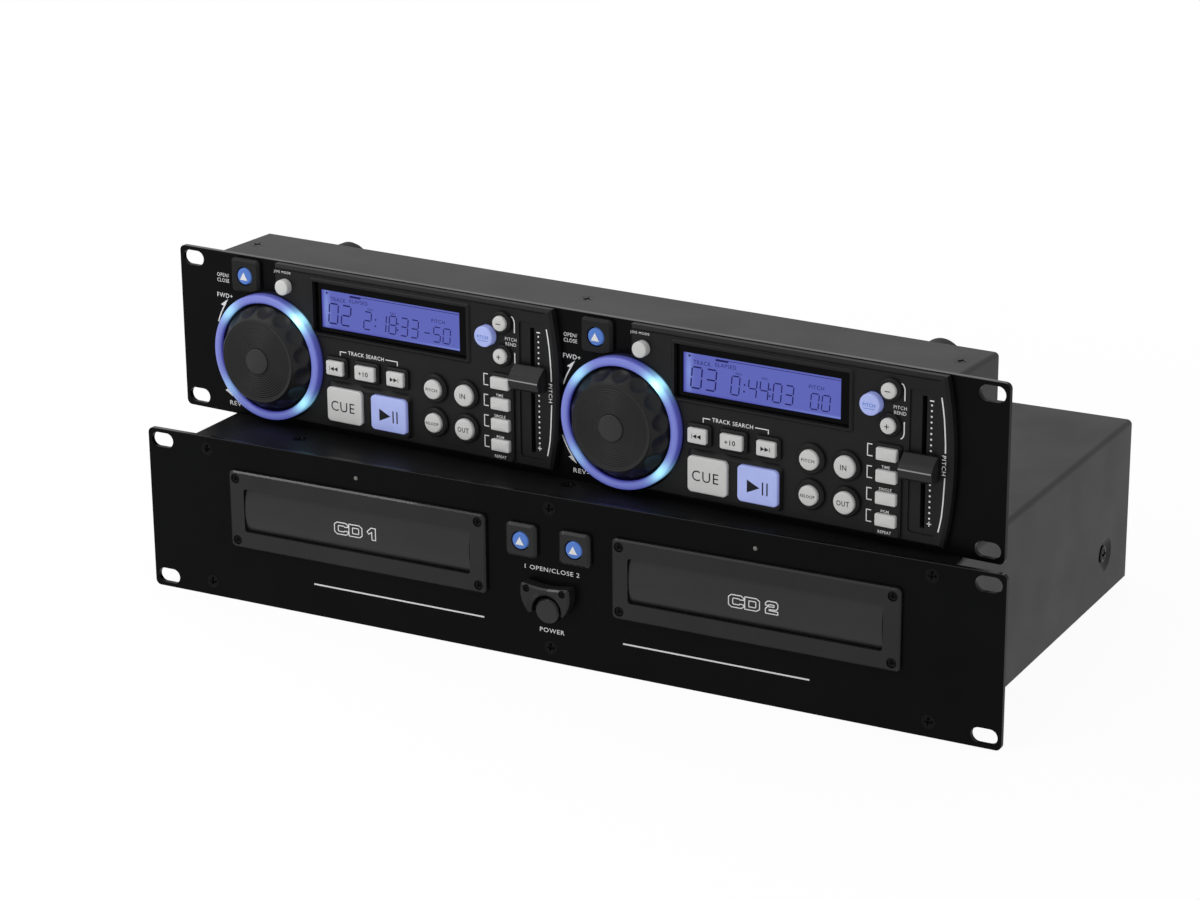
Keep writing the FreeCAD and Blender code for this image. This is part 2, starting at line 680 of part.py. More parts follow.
def eject_frame(cx, cz, w, h):
    frame = bevelled_block(cx, cz, w, h, EJECT_FRAME_R, -EJECT_FRAME_RISE, 0, EJECT_FRAME_BEVEL)
    return frame.cut(rod(cx, cz, EJECT_BUTTON_R + RUN_GAP, -EJECT_FRAME_RISE - 1, 1))


def power_guard():
    """Shield-shaped guard that arches over the power button."""
    half = GUARD_W / 2
    tip_z = GUARD_LOW_Z
    brow_z = GUARD_TOP_Z
    shoulder = V(-half, 0, brow_z)
    shoulder_r = V(half, 0, brow_z)
    crown = V(0, 0, brow_z - GUARD_DIP)
    tip_l, tip_r = V(-GUARD_TIP_X, 0, tip_z), V(GUARD_TIP_X, 0, tip_z)
    flank = V(half * GUARD_FLANK_BOW, 0, (brow_z + tip_z) / 2)
    flank_l = V(-flank.x, 0, flank.z)
    edges = [
        Part.Arc(shoulder, crown, shoulder_r).toShape(),
        Part.Arc(shoulder_r, flank, tip_r).toShape(),
        Part.LineSegment(tip_r, tip_l).toShape(),
        Part.Arc(tip_l, flank_l, shoulder).toShape(),
    ]
    guard = Part.Face(Part.Wire(edges)).extrude(V(0, -GUARD_RISE, 0))
    horns = []
    for edge in guard.Edges:
        bound = edge.BoundBox
        if bound.YLength > GUARD_RISE / 2 and bound.ZMin > (brow_z + tip_z) / 2:
            horns.append(edge)
    guard = guard.makeFillet(GUARD_HORN_R, horns)
    front_edges = []
    for edge in guard.Edges:
        if edge.BoundBox.YMax < -GUARD_RISE + 0.01:
            front_edges.append(edge)
    guard = guard.makeChamfer(GUARD_EDGE, front_edges)
    guard = guard.cut(rod(0, POWER_Z, GUARD_ARCH_R, -GUARD_RISE - 1, 1))
    slope = Part.makeCone(GUARD_ARCH_R + GUARD_ARCH_BEVEL, GUARD_ARCH_R, GUARD_ARCH_BEVEL,
                          V(0, -GUARD_RISE, POWER_Z), V(0, 1, 0))
    guard = guard.cut(slope)
    for side in (-1, 1):
        guard = guard.cut(rod(side * GUARD_SCREW_X, GUARD_SCREW_Z, GUARD_SCREW_R, -GUARD_RISE - 1,
                              -GUARD_RISE + GUARD_SCREW_SINK))
    return guard


def player_trim():
    pieces = [tray_bezel(x) for x in drive_centres()]
    pieces += [eject_frame(x, EJECT_Z, EJECT_FRAME, EJECT_FRAME) for x in (-EJECT_X, EJECT_X)]
    pieces.append(power_guard())
    return Part.makeCompound(pieces)


def disc_tray(x):
    """Tray plate with its disc well, guide rails and the curved front door."""
    half = TRAY_W / 2
    plate = box(x - half, x + half, TRAY_FRONT, TRAY_REAR, TRAY_LOW, TRAY_TOP)
    floor = TRAY_LOW + TRAY_FLOOR_T
    plate = plate.cut(post(x, DISC_Y, WELL_R, floor, TRAY_TOP + 1))
    plate = plate.cut(post(x, DISC_Y, SMALL_WELL_R, floor - SMALL_WELL_DEPTH, TRAY_TOP + 1))
    r = LENS_SLOT_W / 2
    slot = post(x, DISC_Y, r, TRAY_LOW - 1, TRAY_TOP)
    slot = slot.fuse(box(x - r, x + r, DISC_Y, DISC_Y + LENS_SLOT_REACH, TRAY_LOW - 1, TRAY_TOP))
    plate = plate.cut(slot)
    rails = []
    for side in (-1, 1):
        x0, x1 = sorted((x + side * (half - RAIL_ROOT), x + side * RAIL_HALF))
        rails.append(box(x0, x1, WALL_Y + RAIL_START, RAIL_REAR, RAIL_LOW, RAIL_TOP))
    door_w = TRAY_OPEN_W - 2 * DOOR_GAP
    door_h = TRAY_OPEN_H - 2 * DOOR_GAP
    z0, z1 = DRIVE_Z - door_h / 2, DRIVE_Z + door_h / 2
    edge_y = DOOR_FRONT + DOOR_BULGE
    x0 = x - door_w / 2
    back = DOOR_FRONT + DOOR_T
    section = Part.Wire([
        Part.Arc(V(x0, edge_y, z0), V(x0, DOOR_FRONT, DRIVE_Z), V(x0, edge_y, z1)).toShape(),
        Part.LineSegment(V(x0, edge_y, z1), V(x0, back, z1)).toShape(),
        Part.LineSegment(V(x0, back, z1), V(x0, back, z0)).toShape(),
        Part.LineSegment(V(x0, back, z0), V(x0, edge_y, z0)).toShape(),
    ])
    door = Part.Face(section).extrude(V(door_w, 0, 0))
    return fused([plate, door] + rails)


def disc_drive(x):
    """Loader frame with guide channels, clamp bridge, motor and lens sled."""
    walls = []
    top = BRIDGE_LOW + BRIDGE_T
    for side in (-1, 1):
        x0, x1 = sorted((x + side * FRAME_IN, x + side * FRAME_OUT))
        walls.append(box(x0, x1, WALL_Y, FRAME_REAR, FRAME_FLOOR_TOP - FRAME_FLOOR_T, top))
        x0, x1 = sorted((x + side * (TRAY_W / 2 + LEDGE_CLEAR), x + side * FRAME_IN))
        for z0 in (RAIL_LOW - SLIDE_GAP - LEDGE_T, RAIL_TOP + SLIDE_GAP):
            walls.append(box(x0, x1, WALL_Y, FRAME_REAR, z0, z0 + LEDGE_T))
    floor = box(x - FRAME_OUT, x + FRAME_OUT, WALL_Y, FRAME_REAR,
                FRAME_FLOOR_TOP - FRAME_FLOOR_T, FRAME_FLOOR_TOP)
    bridge = box(x - FRAME_OUT, x + FRAME_OUT, DISC_Y - BRIDGE_D / 2, DISC_Y + BRIDGE_D / 2,
                 BRIDGE_LOW, top)
    clamper = post(x, DISC_Y, CLAMPER_R, BRIDGE_LOW - CLAMPER_H, BRIDGE_LOW)
    motor = post(x, DISC_Y, MOTOR_R, FRAME_FLOOR_TOP - FRAME_FLOOR_T - MOTOR_H, FRAME_FLOOR_TOP)
    rods = []
    for side in (-1, 1):
        rx = x + side * (SLED_W / 2 - GUIDE_ROD_INSET)
        rods.append(Part.makeCylinder(GUIDE_ROD_R, GUIDE_ROD_L, V(rx, DISC_Y + GUIDE_ROD_START,
                    FRAME_FLOOR_TOP + GUIDE_ROD_R), V(0, 1, 0)))
    sled_y = DISC_Y + SLED_START
    sled = box(x - SLED_W / 2, x + SLED_W / 2, sled_y, sled_y + SLED_D,
               FRAME_FLOOR_TOP, FRAME_FLOOR_TOP + SLED_H)
    lens = post(x, sled_y + LENS_R + LENS_INSET, LENS_R, FRAME_FLOOR_TOP + SLED_H,
                FRAME_FLOOR_TOP + SLED_H + LENS_H)
    legs = []
    for side in (-1, 1):
        for y in (WALL_Y + LEG_INSET, FRAME_REAR - LEG_INSET):
            legs.append(post(x + side * (FRAME_OUT - LEG_R), y, LEG_R, SHEET_T,
                             FRAME_FLOOR_TOP - FRAME_FLOOR_T))
    drive = fused(walls + [floor, bridge, clamper, motor, sled, lens] + rods + legs)
    bore = post(x, DISC_Y, SPINDLE_R + SPINDLE_GAP, FRAME_FLOOR_TOP - MOTOR_H, FRAME_FLOOR_TOP + 1)
    return drive.cut(bore)


def disc_spindle(x):
    """Motor shaft with the turntable and centring cone."""
    shaft_low = FRAME_FLOOR_TOP - MOTOR_H + SPINDLE_END
    cone_low = HUB_TOP - CENTRE_CONE_H
    table_low = cone_low - TURNTABLE_H
    shaft = post(x, DISC_Y, SPINDLE_R, shaft_low, table_low)
    table = post(x, DISC_Y, TURNTABLE_R, table_low, cone_low)
    cone = Part.makeCone(CENTRE_CONE_R, CENTRE_CONE_TOP_R, CENTRE_CONE_H, V(x, DISC_Y, cone_low))
    return fused([shaft, table, cone])


def player_eject_button(x):
    front = -(EJECT_FRAME_RISE + EJECT_BUTTON_PROUD)
    board_y = WALL_Y + FRONT_BOARD_GAP
    edge = CAP_BEVEL
    r = EJECT_BUTTON_R
    rear = PANEL_T + BUTTON_REAR
    cap = turned(x, EJECT_Z, [(0, front), (r - edge, front), (r, front + edge), (r, rear), (0, rear)])
    return fused([cap, plunger(x, EJECT_Z, rear, board_y)])


def power_button():
    edge = 1.6 * CAP_BEVEL
    rear = PANEL_T + BUTTON_REAR + POWER_TRAVEL
    cap = turned(0, POWER_Z, [(0, -POWER_PROUD), (POWER_R - edge, -POWER_PROUD),
                              (POWER_R, -POWER_PROUD + edge), (POWER_R, rear), (0, rear)])
    return fused([cap, rod(0, POWER_Z, PLUNGER / 2, rear, WALL_Y + FRONT_BOARD_GAP - 1.0)])


def jack(x, y_wall):
    """Coaxial socket: body on the board, collar on the wall, plain barrel outside."""
    half = JACK_BODY / 2
    low = SHEET_T + BOARD_LIFT + BOARD_T
    inner = y_wall - SHEET_T
    body = box(x - half, x + half, inner - JACK_BODY, inner, low, JACK_Z + half)
    barrel = rod(x, JACK_Z, JACK_R, inner - 1, y_wall + JACK_L)
    collar = rod(x, JACK_Z, JACK_COLLAR_R, y_wall, y_wall + JACK_COLLAR_T)
    bore = rod(x, JACK_Z, JACK_PIN_R, y_wall - JACK_BORE_IN, y_wall + JACK_L + 1)
    return fused([body, barrel, collar]).cut(bore)


def din_socket(x, z, y_wall, low):
    """Round multi-pin socket for the cable between the two units."""
    half = DIN_SHELL_R
    inner = y_wall - SHEET_T
    body = box(x - half, x + half, inner - DIN_DEPTH - DIN_BACK, inner, low, z + half)
    shell = rod(x, z, DIN_SHELL_R, inner - 1, y_wall + DIN_RISE)
    well = rod(x, z, DIN_R, y_wall + DIN_RISE - DIN_DEPTH, y_wall + DIN_RISE + 1)
    return fused([body, shell]).cut(well)


def mains_inlet():
    """Three-pin mains inlet with a flange outside the rear wall."""
    flange = rounded_block(INLET_X, INLET_Z, INLET_W, INLET_H, 2.0, BOX_D, BOX_D + INLET_RISE)
    inset = 2 * (INLET_LIP + INLET_FIT)
    body = rounded_block(INLET_X, INLET_Z, INLET_W - inset, INLET_H - inset, INLET_CORNER_R,
                         BOX_D - INLET_DEPTH - INLET_WALL, BOX_D + INLET_RISE / 2)
    inlet = fused([flange, body])
    floor_y = BOX_D + INLET_RISE - INLET_DEPTH
    inlet = inlet.cut(rounded_block(INLET_X, INLET_Z, INLET_CAVITY_W, INLET_CAVITY_H, 2.0,
                                    floor_y, BOX_D + INLET_RISE + 1))
    pins = []
    for k in (-1, 0, 1):
        middle_z = INLET_Z + (INLET_EARTH_LIFT if k == 0 else -INLET_EARTH_LIFT)
        px = INLET_X + k * INLET_PIN_PITCH
        pins.append(box(px - INLET_PIN_W / 2, px + INLET_PIN_W / 2, floor_y - 1, floor_y + INLET_PIN_L,
                        middle_z - INLET_PIN_H / 2, middle_z + INLET_PIN_H / 2))
    return fused([inlet] + pins)


def standoffs(points, z_top):
    return [post(x, y, STANDOFF_R, SHEET_T, z_top) for x, y in points]


def player_boards():
    """Front key board, power board, main board with its sockets, and the mains inlet."""
    low = SHEET_T + BOARD_LIFT
    high = low + BOARD_T
    board_y = WALL_Y + FRONT_BOARD_GAP
    # key board behind the middle of the panel, standing on the pan
    front_w = 2 * (EJECT_X + SWITCH_SIZE + KEY_BOARD_EDGE)
    keys = [box(-front_w / 2, front_w / 2, board_y, board_y + BOARD_T, SHEET_T, EJECT_Z + SWITCH_SIZE)]
    keys += [switch_body(x, EJECT_Z, board_y) for x in (-EJECT_X, EJECT_X)]
    half = POWER_R
    latch = box(-half, half, board_y - LATCH_FRONT, board_y + LATCH_D, POWER_Z - half, POWER_Z + half)
    well = rod(0, POWER_Z, PLUNGER / 2 + PLUNGER_GAP, board_y - LATCH_FRONT - 1,
               board_y + POWER_TRAVEL + LATCH_WELL)
    key_board = fused(keys + [latch]).cut(well)
    # power board between the drives
    x0 = -POWER_BOARD_W / 2
    y0 = POWER_BOARD_Y
    y1 = y0 + POWER_BOARD_D
    plate = box(x0, -x0, y0, y1, low, high)
    core_y1 = y1 - CORE_END
    core_y0 = core_y1 - CORE_D
    core = box(-CORE_W / 2, CORE_W / 2, core_y0, core_y1, high, high + CORE_H)
    coil = box(-COIL_W / 2, COIL_W / 2, core_y0 + COIL_STEP, core_y1 - COIL_STEP,
               high + COIL_LIFT, high + CORE_H - COIL_LIFT)
    cans = [post(x, y0 + CAN_Y, CAN_R, high, high + CAN_H) for x in CAN_X]
    sink = []
    for k in range(SINK_FINS):
        fin_y = y0 + SINK_Y + k * SINK_PITCH
        sink.append(box(-SINK_W / 2, SINK_W / 2, fin_y, fin_y + SINK_T, high, high + SINK_H))
    edge = STANDOFF_EDGE
    spots = [(sx * (POWER_BOARD_W / 2 - edge), y) for sx in (-1, 1) for y in (y0 + edge, y1 - edge)]
    power = fused([plate, core, coil] + cans + sink + standoffs(spots, low))
    # main board along the rear wall, with the sockets on its rear edge
    bx0 = JACK_PAIR_X[0] - JACK_BODY
    by1 = BOX_D - SHEET_T - BOARD_REAR_GAP
    by0 = by1 - MAIN_BOARD_D
    bx1 = bx0 + MAIN_BOARD_W
    main = box(bx0, bx1, by0, by1, low, high)
    chips = []
    for k in range(CHIP_COUNT):
        chip_x = bx0 + CHIP_START + k * CHIP_PITCH
        chips.append(box(chip_x, chip_x + CHIP_L, by0 + CHIP_EDGE, by0 + CHIP_EDGE + CHIP_W,
                         high, high + CHIP_H))
    spots = [(x, y) for x in (bx0 + edge, bx1 - edge) for y in (by0 + edge, by1 - edge)]
    jacks = [jack(x + step, BOX_D) for x in JACK_PAIR_X for step in (0, JACK_PITCH)]
    dins = [din_socket(x, JACK_Z, BOX_D, high) for x in DIN_X]
    rear = fused([main] + chips + standoffs(spots, low))
    return Part.makeCompound([key_board, power, rear] + jacks + dins + [mains_inlet()])


# ---------------------------------------------------------------- controller
def deck_x(deck):
    return JOG_X + deck * DECK_PITCH


def controller_openings(y0, y1):
    """Cutters for everything that passes through the controller's panel."""
    cutters = []
    for deck in range(DECK_COUNT):
        x = deck_x(deck)
        cutters.append(rod(x, JOG_Z, WHEEL_HUB_R + RUN_GAP, y0, y1))
        cutters.append(rod(x + DECK_EJECT_U, DECK_EJECT_Z, EJECT_BUTTON_R + RUN_GAP, y0, y1))
        half_w, half_h = LCD_W / 2 + LCD_OPENING, LCD_H / 2 + LCD_OPENING
        cutters.append(box(x + LCD_U - half_w, x + LCD_U + half_w, y0, y1, LCD_Z - half_h, LCD_Z + half_h))
        cutters += button_cutters(x, y0, y1)
        cutters.append(fader_slot(x, y0, y1))
    return cutters


def button_cutters(x, y0, y1):
    cutters = []
    for u, z, d in ROUND_BUTTONS.values():
        cutters.append(rod(x + u, z, d / 2 + RUN_GAP, y0, y1))
    for u, z, w, h in BLOCK_BUTTONS.values():
        cutters.append(rounded_block(x + u, z, w + 2 * RUN_GAP, h + 2 * RUN_GAP,
                                     BLOCK_CORNER * h + RUN_GAP, y0, y1))
    return cutters


def fader_slot(x, y0, y1):
    half = FADER_SLOT_W / 2
    return box(x + FADER_U - half, x + FADER_U + half, y0, y1,
               FADER_Z - FADER_SLOT_L / 2, FADER_Z + FADER_SLOT_L / 2)


def controller_front_panel():
    plate = rack_panel().cut(controller_openings(-1, PANEL_T + 1))
    tabs = []
    for x in (-CASE_SCREW_X, 0, CASE_SCREW_X):
        top = PANEL_H - SHEET_T
        tabs.append(box(x - TAB_W / 2, x + TAB_W / 2, PANEL_T - TAB_ROOT, CASE_SCREW_Y + TAB_REACH,
                        top - SHEET_T, top))
    return fused([plate] + tabs)


def controller_case():
    """Shallow steel box, open at the front where the panel closes it."""
    outer = rounded_block(0, PANEL_H / 2, CASE_W, PANEL_H, CASE_BEND_R, PANEL_T, CASE_D)
    inner = rounded_block(0, PANEL_H / 2, CASE_W - 2 * SHEET_T, PANEL_H - 2 * SHEET_T,
                          CASE_BEND_R - SHEET_T, PANEL_T - 1, CASE_IN_Y)
    case = outer.cut(inner)
    for x in (-CASE_SCREW_X, 0, CASE_SCREW_X):
        case = case.cut(top_sink(x, CASE_SCREW_Y, PANEL_H))
    for x in CTL_DIN_X:
        case = case.cut(rod(x, CTL_DIN_Z, DIN_SHELL_R + SOCKET_FIT, CASE_IN_Y - 1, CASE_D + 1))
    return case


def controller_feet():
    """Four turned rubber feet with a screw recess, on the back of the case."""
    feet = []
    edge = FOOT_R - FOOT_TIP_R
    tip = CASE_D + FOOT_L
    for x in (-FOOT_X, FOOT_X):
        for z in (FOOT_EDGE, PANEL_H - FOOT_EDGE):
            feet.append(turned(x, z, [
                (0, CASE_D), (FOOT_R, CASE_D), (FOOT_R, tip - 2 * edge), (FOOT_TIP_R, tip),
                (FOOT_SCREW_R, tip), (FOOT_SCREW_R, tip - FOOT_SCREW_DEPTH), (0, tip - FOOT_SCREW_DEPTH)]))
    return Part.makeCompound(feet)


def fascia_outline(x):
    """Face of a deck's fascia: square left, bowed right, with the jog's round bite."""
    top = PANEL_H - FASCIA_TOP_DROP
    left, right = x + FASCIA_LEFT, x + FASCIA_RIGHT
    bow = V(right + FASCIA_BOW, 0, (top + FASCIA_LOW_Z) / 2)
    a, b = V(right, 0, FASCIA_LOW_Z), V(right, 0, top)
    c, d = V(left, 0, top), V(left, 0, FASCIA_LOW_Z)
    wire = Part.Wire([Part.Arc(a, bow, b).toShape(), Part.LineSegment(b, c).toShape(),
                      Part.LineSegment(c, d).toShape(), Part.LineSegment(d, a).toShape()])
    return Part.Face(wire)


def large_surround(x):
    """Raised surround of the two large buttons, with a wide slope along its upper edge."""
    u0, _, w, h = BLOCK_BUTTONS["cue"]
    u1 = BLOCK_BUTTONS["play_pause"][0]
    wide, tall = u1 - u0 + w + 2 * SURROUND_SIDE, h + 2 * SURROUND_END
    cx = x + (u0 + u1) / 2
    face_y, foot_y = -FASCIA_RISE - COLLAR_RISE, -FASCIA_RISE
    face_tall = tall - COLLAR_BEVEL - SURROUND_SLOPE
    face_z = LARGE_ROW_Z + (COLLAR_BEVEL - SURROUND_SLOPE) / 2
    wires = [
        rounded_wire(cx, face_z, wide - 2 * COLLAR_BEVEL, face_tall, SURROUND_CORNER_R, face_y),
        rounded_wire(cx, LARGE_ROW_Z, wide, tall, SURROUND_CORNER_R, foot_y),
    ]
    cap = Part.makeLoft(wires, True, True)
    foot = rounded_block(cx, LARGE_ROW_Z, wide, tall, SURROUND_CORNER_R, foot_y, -1)
    return cap.fuse(foot).removeSplitter()


def deck_fascia(x):
    """Moulded fascia with raised collars, a display frame and the fader's trough."""
    front = -FASCIA_RISE
    body = fascia_outline(x).extrude(V(0, front, 0))
    body = body.cut(rod(x, JOG_Z, RING_OUT_R + FASCIA_JOG_GAP, front - 1, 1))
    edges = []
    jog_axis = V(x, 0, JOG_Z)
    for edge in body.Edges:
        bound = edge.BoundBox
        in_face = abs(bound.YMin - front) < 1e-4 and abs(bound.YMax - front) < 1e-4
        jog_bite = (isinstance(edge.Curve, Part.Circle)
                    and (V(edge.Curve.Center.x, 0, edge.Curve.Center.z) - jog_axis).Length < 1)
        if in_face and not jog_bite:
            edges.append(edge)
    body = body.makeChamfer(FASCIA_EDGE, edges)
    raised = []
    top_y = front - COLLAR_RISE
    for name, collar_w in COLLARS.items():
        u, z, d = ROUND_BUTTONS[name]
        r = d / 2 + collar_w
        raised.append(turned(x + u, z, [(0, top_y), (r - COLLAR_BEVEL, top_y),
                                         (r, top_y + COLLAR_BEVEL), (r, -1), (0, -1)]))
    raised.append(large_surround(x))
    for name in ("search_back", "plus_ten", "search_forward"):
        u, z, w, h = BLOCK_BUTTONS[name]
        raised.append(bevelled_block(x + u, z, w + 2 * SEARCH_COLLAR_W, h + 2 * SEARCH_COLLAR_W,
                                     COLLAR_CORNER_R, top_y, -1, COLLAR_BEVEL))
    u, z, w, h = BLOCK_BUTTONS[FUNCTION_NAMES[0]]
    plate_top = z + h / 2 + KEY_PLATE_TOP
    plate_low = FASCIA_LOW_Z + KEY_PLATE_LOW
    raised.append(bevelled_block(x + u, (plate_top + plate_low) / 2, w + 2 * KEY_PLATE_SIDE,
                                 plate_top - plate_low, COLLAR_CORNER_R, front - KEY_PLATE_RISE, -1,
                                 COLLAR_BEVEL))
    rise = front - WINDOW_FRAME_RISE
    raised.append(bevelled_block(x + WINDOW_U, WINDOW_Z, WINDOW_W + 2 * WINDOW_FRAME,
                                 WINDOW_H + 2 * WINDOW_FRAME, WINDOW_FRAME_R, rise, -1, COLLAR_BEVEL))
    body = body.fuse(raised).removeSplitter()
    sunk = rounded_block(x + FADER_U, FADER_Z, FADER_PLATE_W, FADER_PLATE_L, PLATE_CORNER_R, front - 2,
                         front + FADER_PLATE_SUNK)
    window = box(x + WINDOW_U - WINDOW_W / 2, x + WINDOW_U + WINDOW_W / 2, front - 3, 1,
                 WINDOW_Z - WINDOW_H / 2, WINDOW_Z + WINDOW_H / 2)
    groove_z = PANEL_H - FASCIA_TOP_DROP - FASCIA_GROOVE_DROP
    groove = box(x + FASCIA_LEFT - 1, x + FASCIA_RIGHT - GROOVE_END, front - 1, front + FASCIA_GROOVE,
                 groove_z - FASCIA_GROOVE, groove_z)
    bite = rod(x, JOG_Z, RING_OUT_R + FASCIA_JOG_GAP, front - 3, 1)
    cutters = [bite, sunk, window, groove, fader_slot(x, front - 3, 1)] + button_cutters(x, front - 3, 1)
    return body.cut(cutters)


def deck_mouldings():
    pieces = []
    for deck in range(DECK_COUNT):
        x = deck_x(deck)
        frame = eject_frame(x + DECK_EJECT_U, DECK_EJECT_Z, DECK_EJECT_W, DECK_EJECT_H)
        pieces.append(frame.cut(rod(x, JOG_Z, RING_OUT_R + FASCIA_JOG_GAP, -EJECT_FRAME_RISE - 1, 1)))
        pieces.append(deck_fascia(x))
    return Part.makeCompound(pieces)


def jog_light_rings():
    """Crowned light guide round each wheel, seated on the panel."""
    rings = []
    middle = (RING_OUT_R + RING_IN_R) / 2
    for deck in range(DECK_COUNT):
        rings.append(turned(deck_x(deck), JOG_Z, [
            (RING_IN_R, 0), (RING_OUT_R, 0), (RING_OUT_R, -RING_RISE + RING_CROWN),
            (RING_OUT_R - RING_CROWN * 0.5, -RING_RISE + RING_CROWN * 0.35), (middle, -RING_RISE),
            (RING_IN_R + RING_CROWN * 0.5, -RING_RISE + RING_CROWN * 0.35),
            (RING_IN_R, -RING_RISE + RING_CROWN)]))
    return Part.makeCompound(rings)


def jog_wheel(x):
    """Turned wheel with a ring of finger scallops, on its own shaft."""
    disc_front = -(WHEEL_CAP_H + WHEEL_DOME + WHEEL_DISC_RISE)
    dome_front = -(WHEEL_CAP_H + WHEEL_DOME)
    side = [(WHEEL_CAP_R, -WHEEL_CAP_H), (WHEEL_R - WHEEL_EDGE, -WHEEL_SIDE_H),
            (WHEEL_R, -WHEEL_SIDE_H + WHEEL_EDGE), (WHEEL_R, -WHEEL_FOOT)]
    under = [(WHEEL_HUB_R, -WHEEL_FOOT), (WHEEL_HUB_R, PANEL_T + BUTTON_REAR),
             (WHEEL_SHAFT_R, PANEL_T + BUTTON_REAR), (WHEEL_SHAFT_R, WHEEL_SHAFT_L), (0, WHEEL_SHAFT_L)]
    front = [(0, disc_front), (WHEEL_DISC_R, disc_front), (WHEEL_DISC_R, dome_front),
             (WHEEL_CAP_R - WHEEL_EDGE, -WHEEL_CAP_H - WHEEL_LIP)]
    wheel = turned(x, JOG_Z, front + side + under)
    # each scallop is a short barrel laid along the slope of the rim
    run = WHEEL_RIM_RUN
    rise = WHEEL_CAP_H - WHEEL_SIDE_H
    slope = math.hypot(run, rise)
    normal_r, normal_y = rise / slope, -run / slope
    mid_r = (WHEEL_R + WHEEL_CAP_R) / 2
    mid_y = -(WHEEL_SIDE_H + WHEEL_CAP_H) / 2
    reach = SCALLOP_R - SCALLOP_BITE
    cutters = []
    for k in range(SCALLOP_COUNT):
        ball = Part.makeSphere(SCALLOP_R, V(x + mid_r + normal_r * reach, mid_y + normal_y * reach, JOG_Z))
        ball.rotate(V(x, 0, JOG_Z), V(0, 1, 0), (k + 0.5) * 360.0 / SCALLOP_COUNT)
        cutters.append(ball)
    return wheel.cut(cutters)


def display_units():
    """Liquid-crystal modules: masked glass in the fascia, body through to the board."""
    units = []
    glass_y = -FASCIA_RISE + LCD_SUNK
    for deck in range(DECK_COUNT):
        cx = deck_x(deck) + WINDOW_U
        half_w, half_h = WINDOW_W / 2 - GLASS_FIT, WINDOW_H / 2 - GLASS_FIT
        glass = box(cx - half_w, cx + half_w, glass_y, 0, WINDOW_Z - half_h, WINDOW_Z + half_h)
        left, right = deck_x(deck) + LCD_U - LCD_W / 2, deck_x(deck) + LCD_U + LCD_W / 2
        low, high = LCD_Z - LCD_H / 2, LCD_Z + LCD_H / 2
        glass = glass.cut(box(left, right, glass_y - 1, glass_y + LCD_MASK_T, low, high))
        body = box(left, right, -LCD_MASK_T, CTL_BOARD_Y, low, high)
        # the corner beside the wheel is cut back with the fascia
        bite = rod(deck_x(deck), JOG_Z, RING_OUT_R + FASCIA_JOG_GAP, glass_y - 1, 1)
        units.append(fused([glass, body]).cut(bite))
    return Part.makeCompound(units)


def controller_board():
    """Key board with its switches, encoders, fader bodies and posts, and the rear sockets."""
    y = CTL_BOARD_Y
    low, high = CTL_BOARD_MARGIN, PANEL_H - CTL_BOARD_MARGIN
    pieces = [box(-CTL_BOARD_W / 2, CTL_BOARD_W / 2, y, y + BOARD_T, low, high)]
    wells = []
    for deck in range(DECK_COUNT):
        x = deck_x(deck)
        spots = [(DECK_EJECT_U, DECK_EJECT_Z)]
        spots += [(u, z) for u, z, _ in ROUND_BUTTONS.values()]
        spots += [(u, z) for u, z, _, _ in BLOCK_BUTTONS.values()]
        pieces += [switch_body(x + u, z, y) for u, z in spots]
        half = ENCODER_SIZE / 2
        pieces.append(box(x - half, x + half, y - ENCODER_H, y, JOG_Z - half, JOG_Z + half))
        wells.append(rod(x, JOG_Z, WHEEL_SHAFT_R + SHAFT_GAP, y - ENCODER_H - 1, WHEEL_SHAFT_L + SHAFT_END))
        half = FADER_POT_W / 2
        fx = x + FADER_U
        z0, z1 = FADER_Z - FADER_PLATE_L / 2, FADER_Z + FADER_PLATE_L / 2
        pieces.append(box(fx - half, fx + half, y - FADER_POT_D, y, z0, z1))
        wells.append(box(fx - FADER_SLOT_W / 2, fx + FADER_SLOT_W / 2, y - FADER_POT_D - 1,
                         y - FADER_POT_WALL, z0 + FADER_POT_WALL, z1 - FADER_POT_WALL))
    edge = CTL_BOARD_W / 2 - STANDOFF_EDGE
    for x in (-edge, deck_x(1) - RING_OUT_R - DECK_GAP / 2, edge):
        for z in (low + STANDOFF_EDGE, high - STANDOFF_EDGE):
            pieces.append(rod(x, z, STANDOFF_R, PANEL_T, y))
    board = fused(pieces).cut(wells)
    sockets = [din_socket(x, CTL_DIN_Z, CASE_D, CTL_DIN_Z - DIN_SHELL_R) for x in CTL_DIN_X]
    return Part.makeCompound([board] + sockets)


def round_button(x, z, d, face):
    r = d / 2
    rear = PANEL_T + BUTTON_REAR
    cap = turned(x, z, [(0, face), (r - CAP_BEVEL, face), (r, face + CAP_BEVEL), (r, rear), (0, rear)])
    return fused([cap, plunger(x, z, rear, CTL_BOARD_Y)])


def block_button(x, z, w, h):
    rear = PANEL_T + BUTTON_REAR
    cap = bevelled_block(x, z, w, h, BLOCK_CORNER * h, BUTTON_FACE, rear, CAP_BEVEL, BLOCK_CROWN)
    return fused([cap, plunger(x, z, rear, CTL_BOARD_Y)])


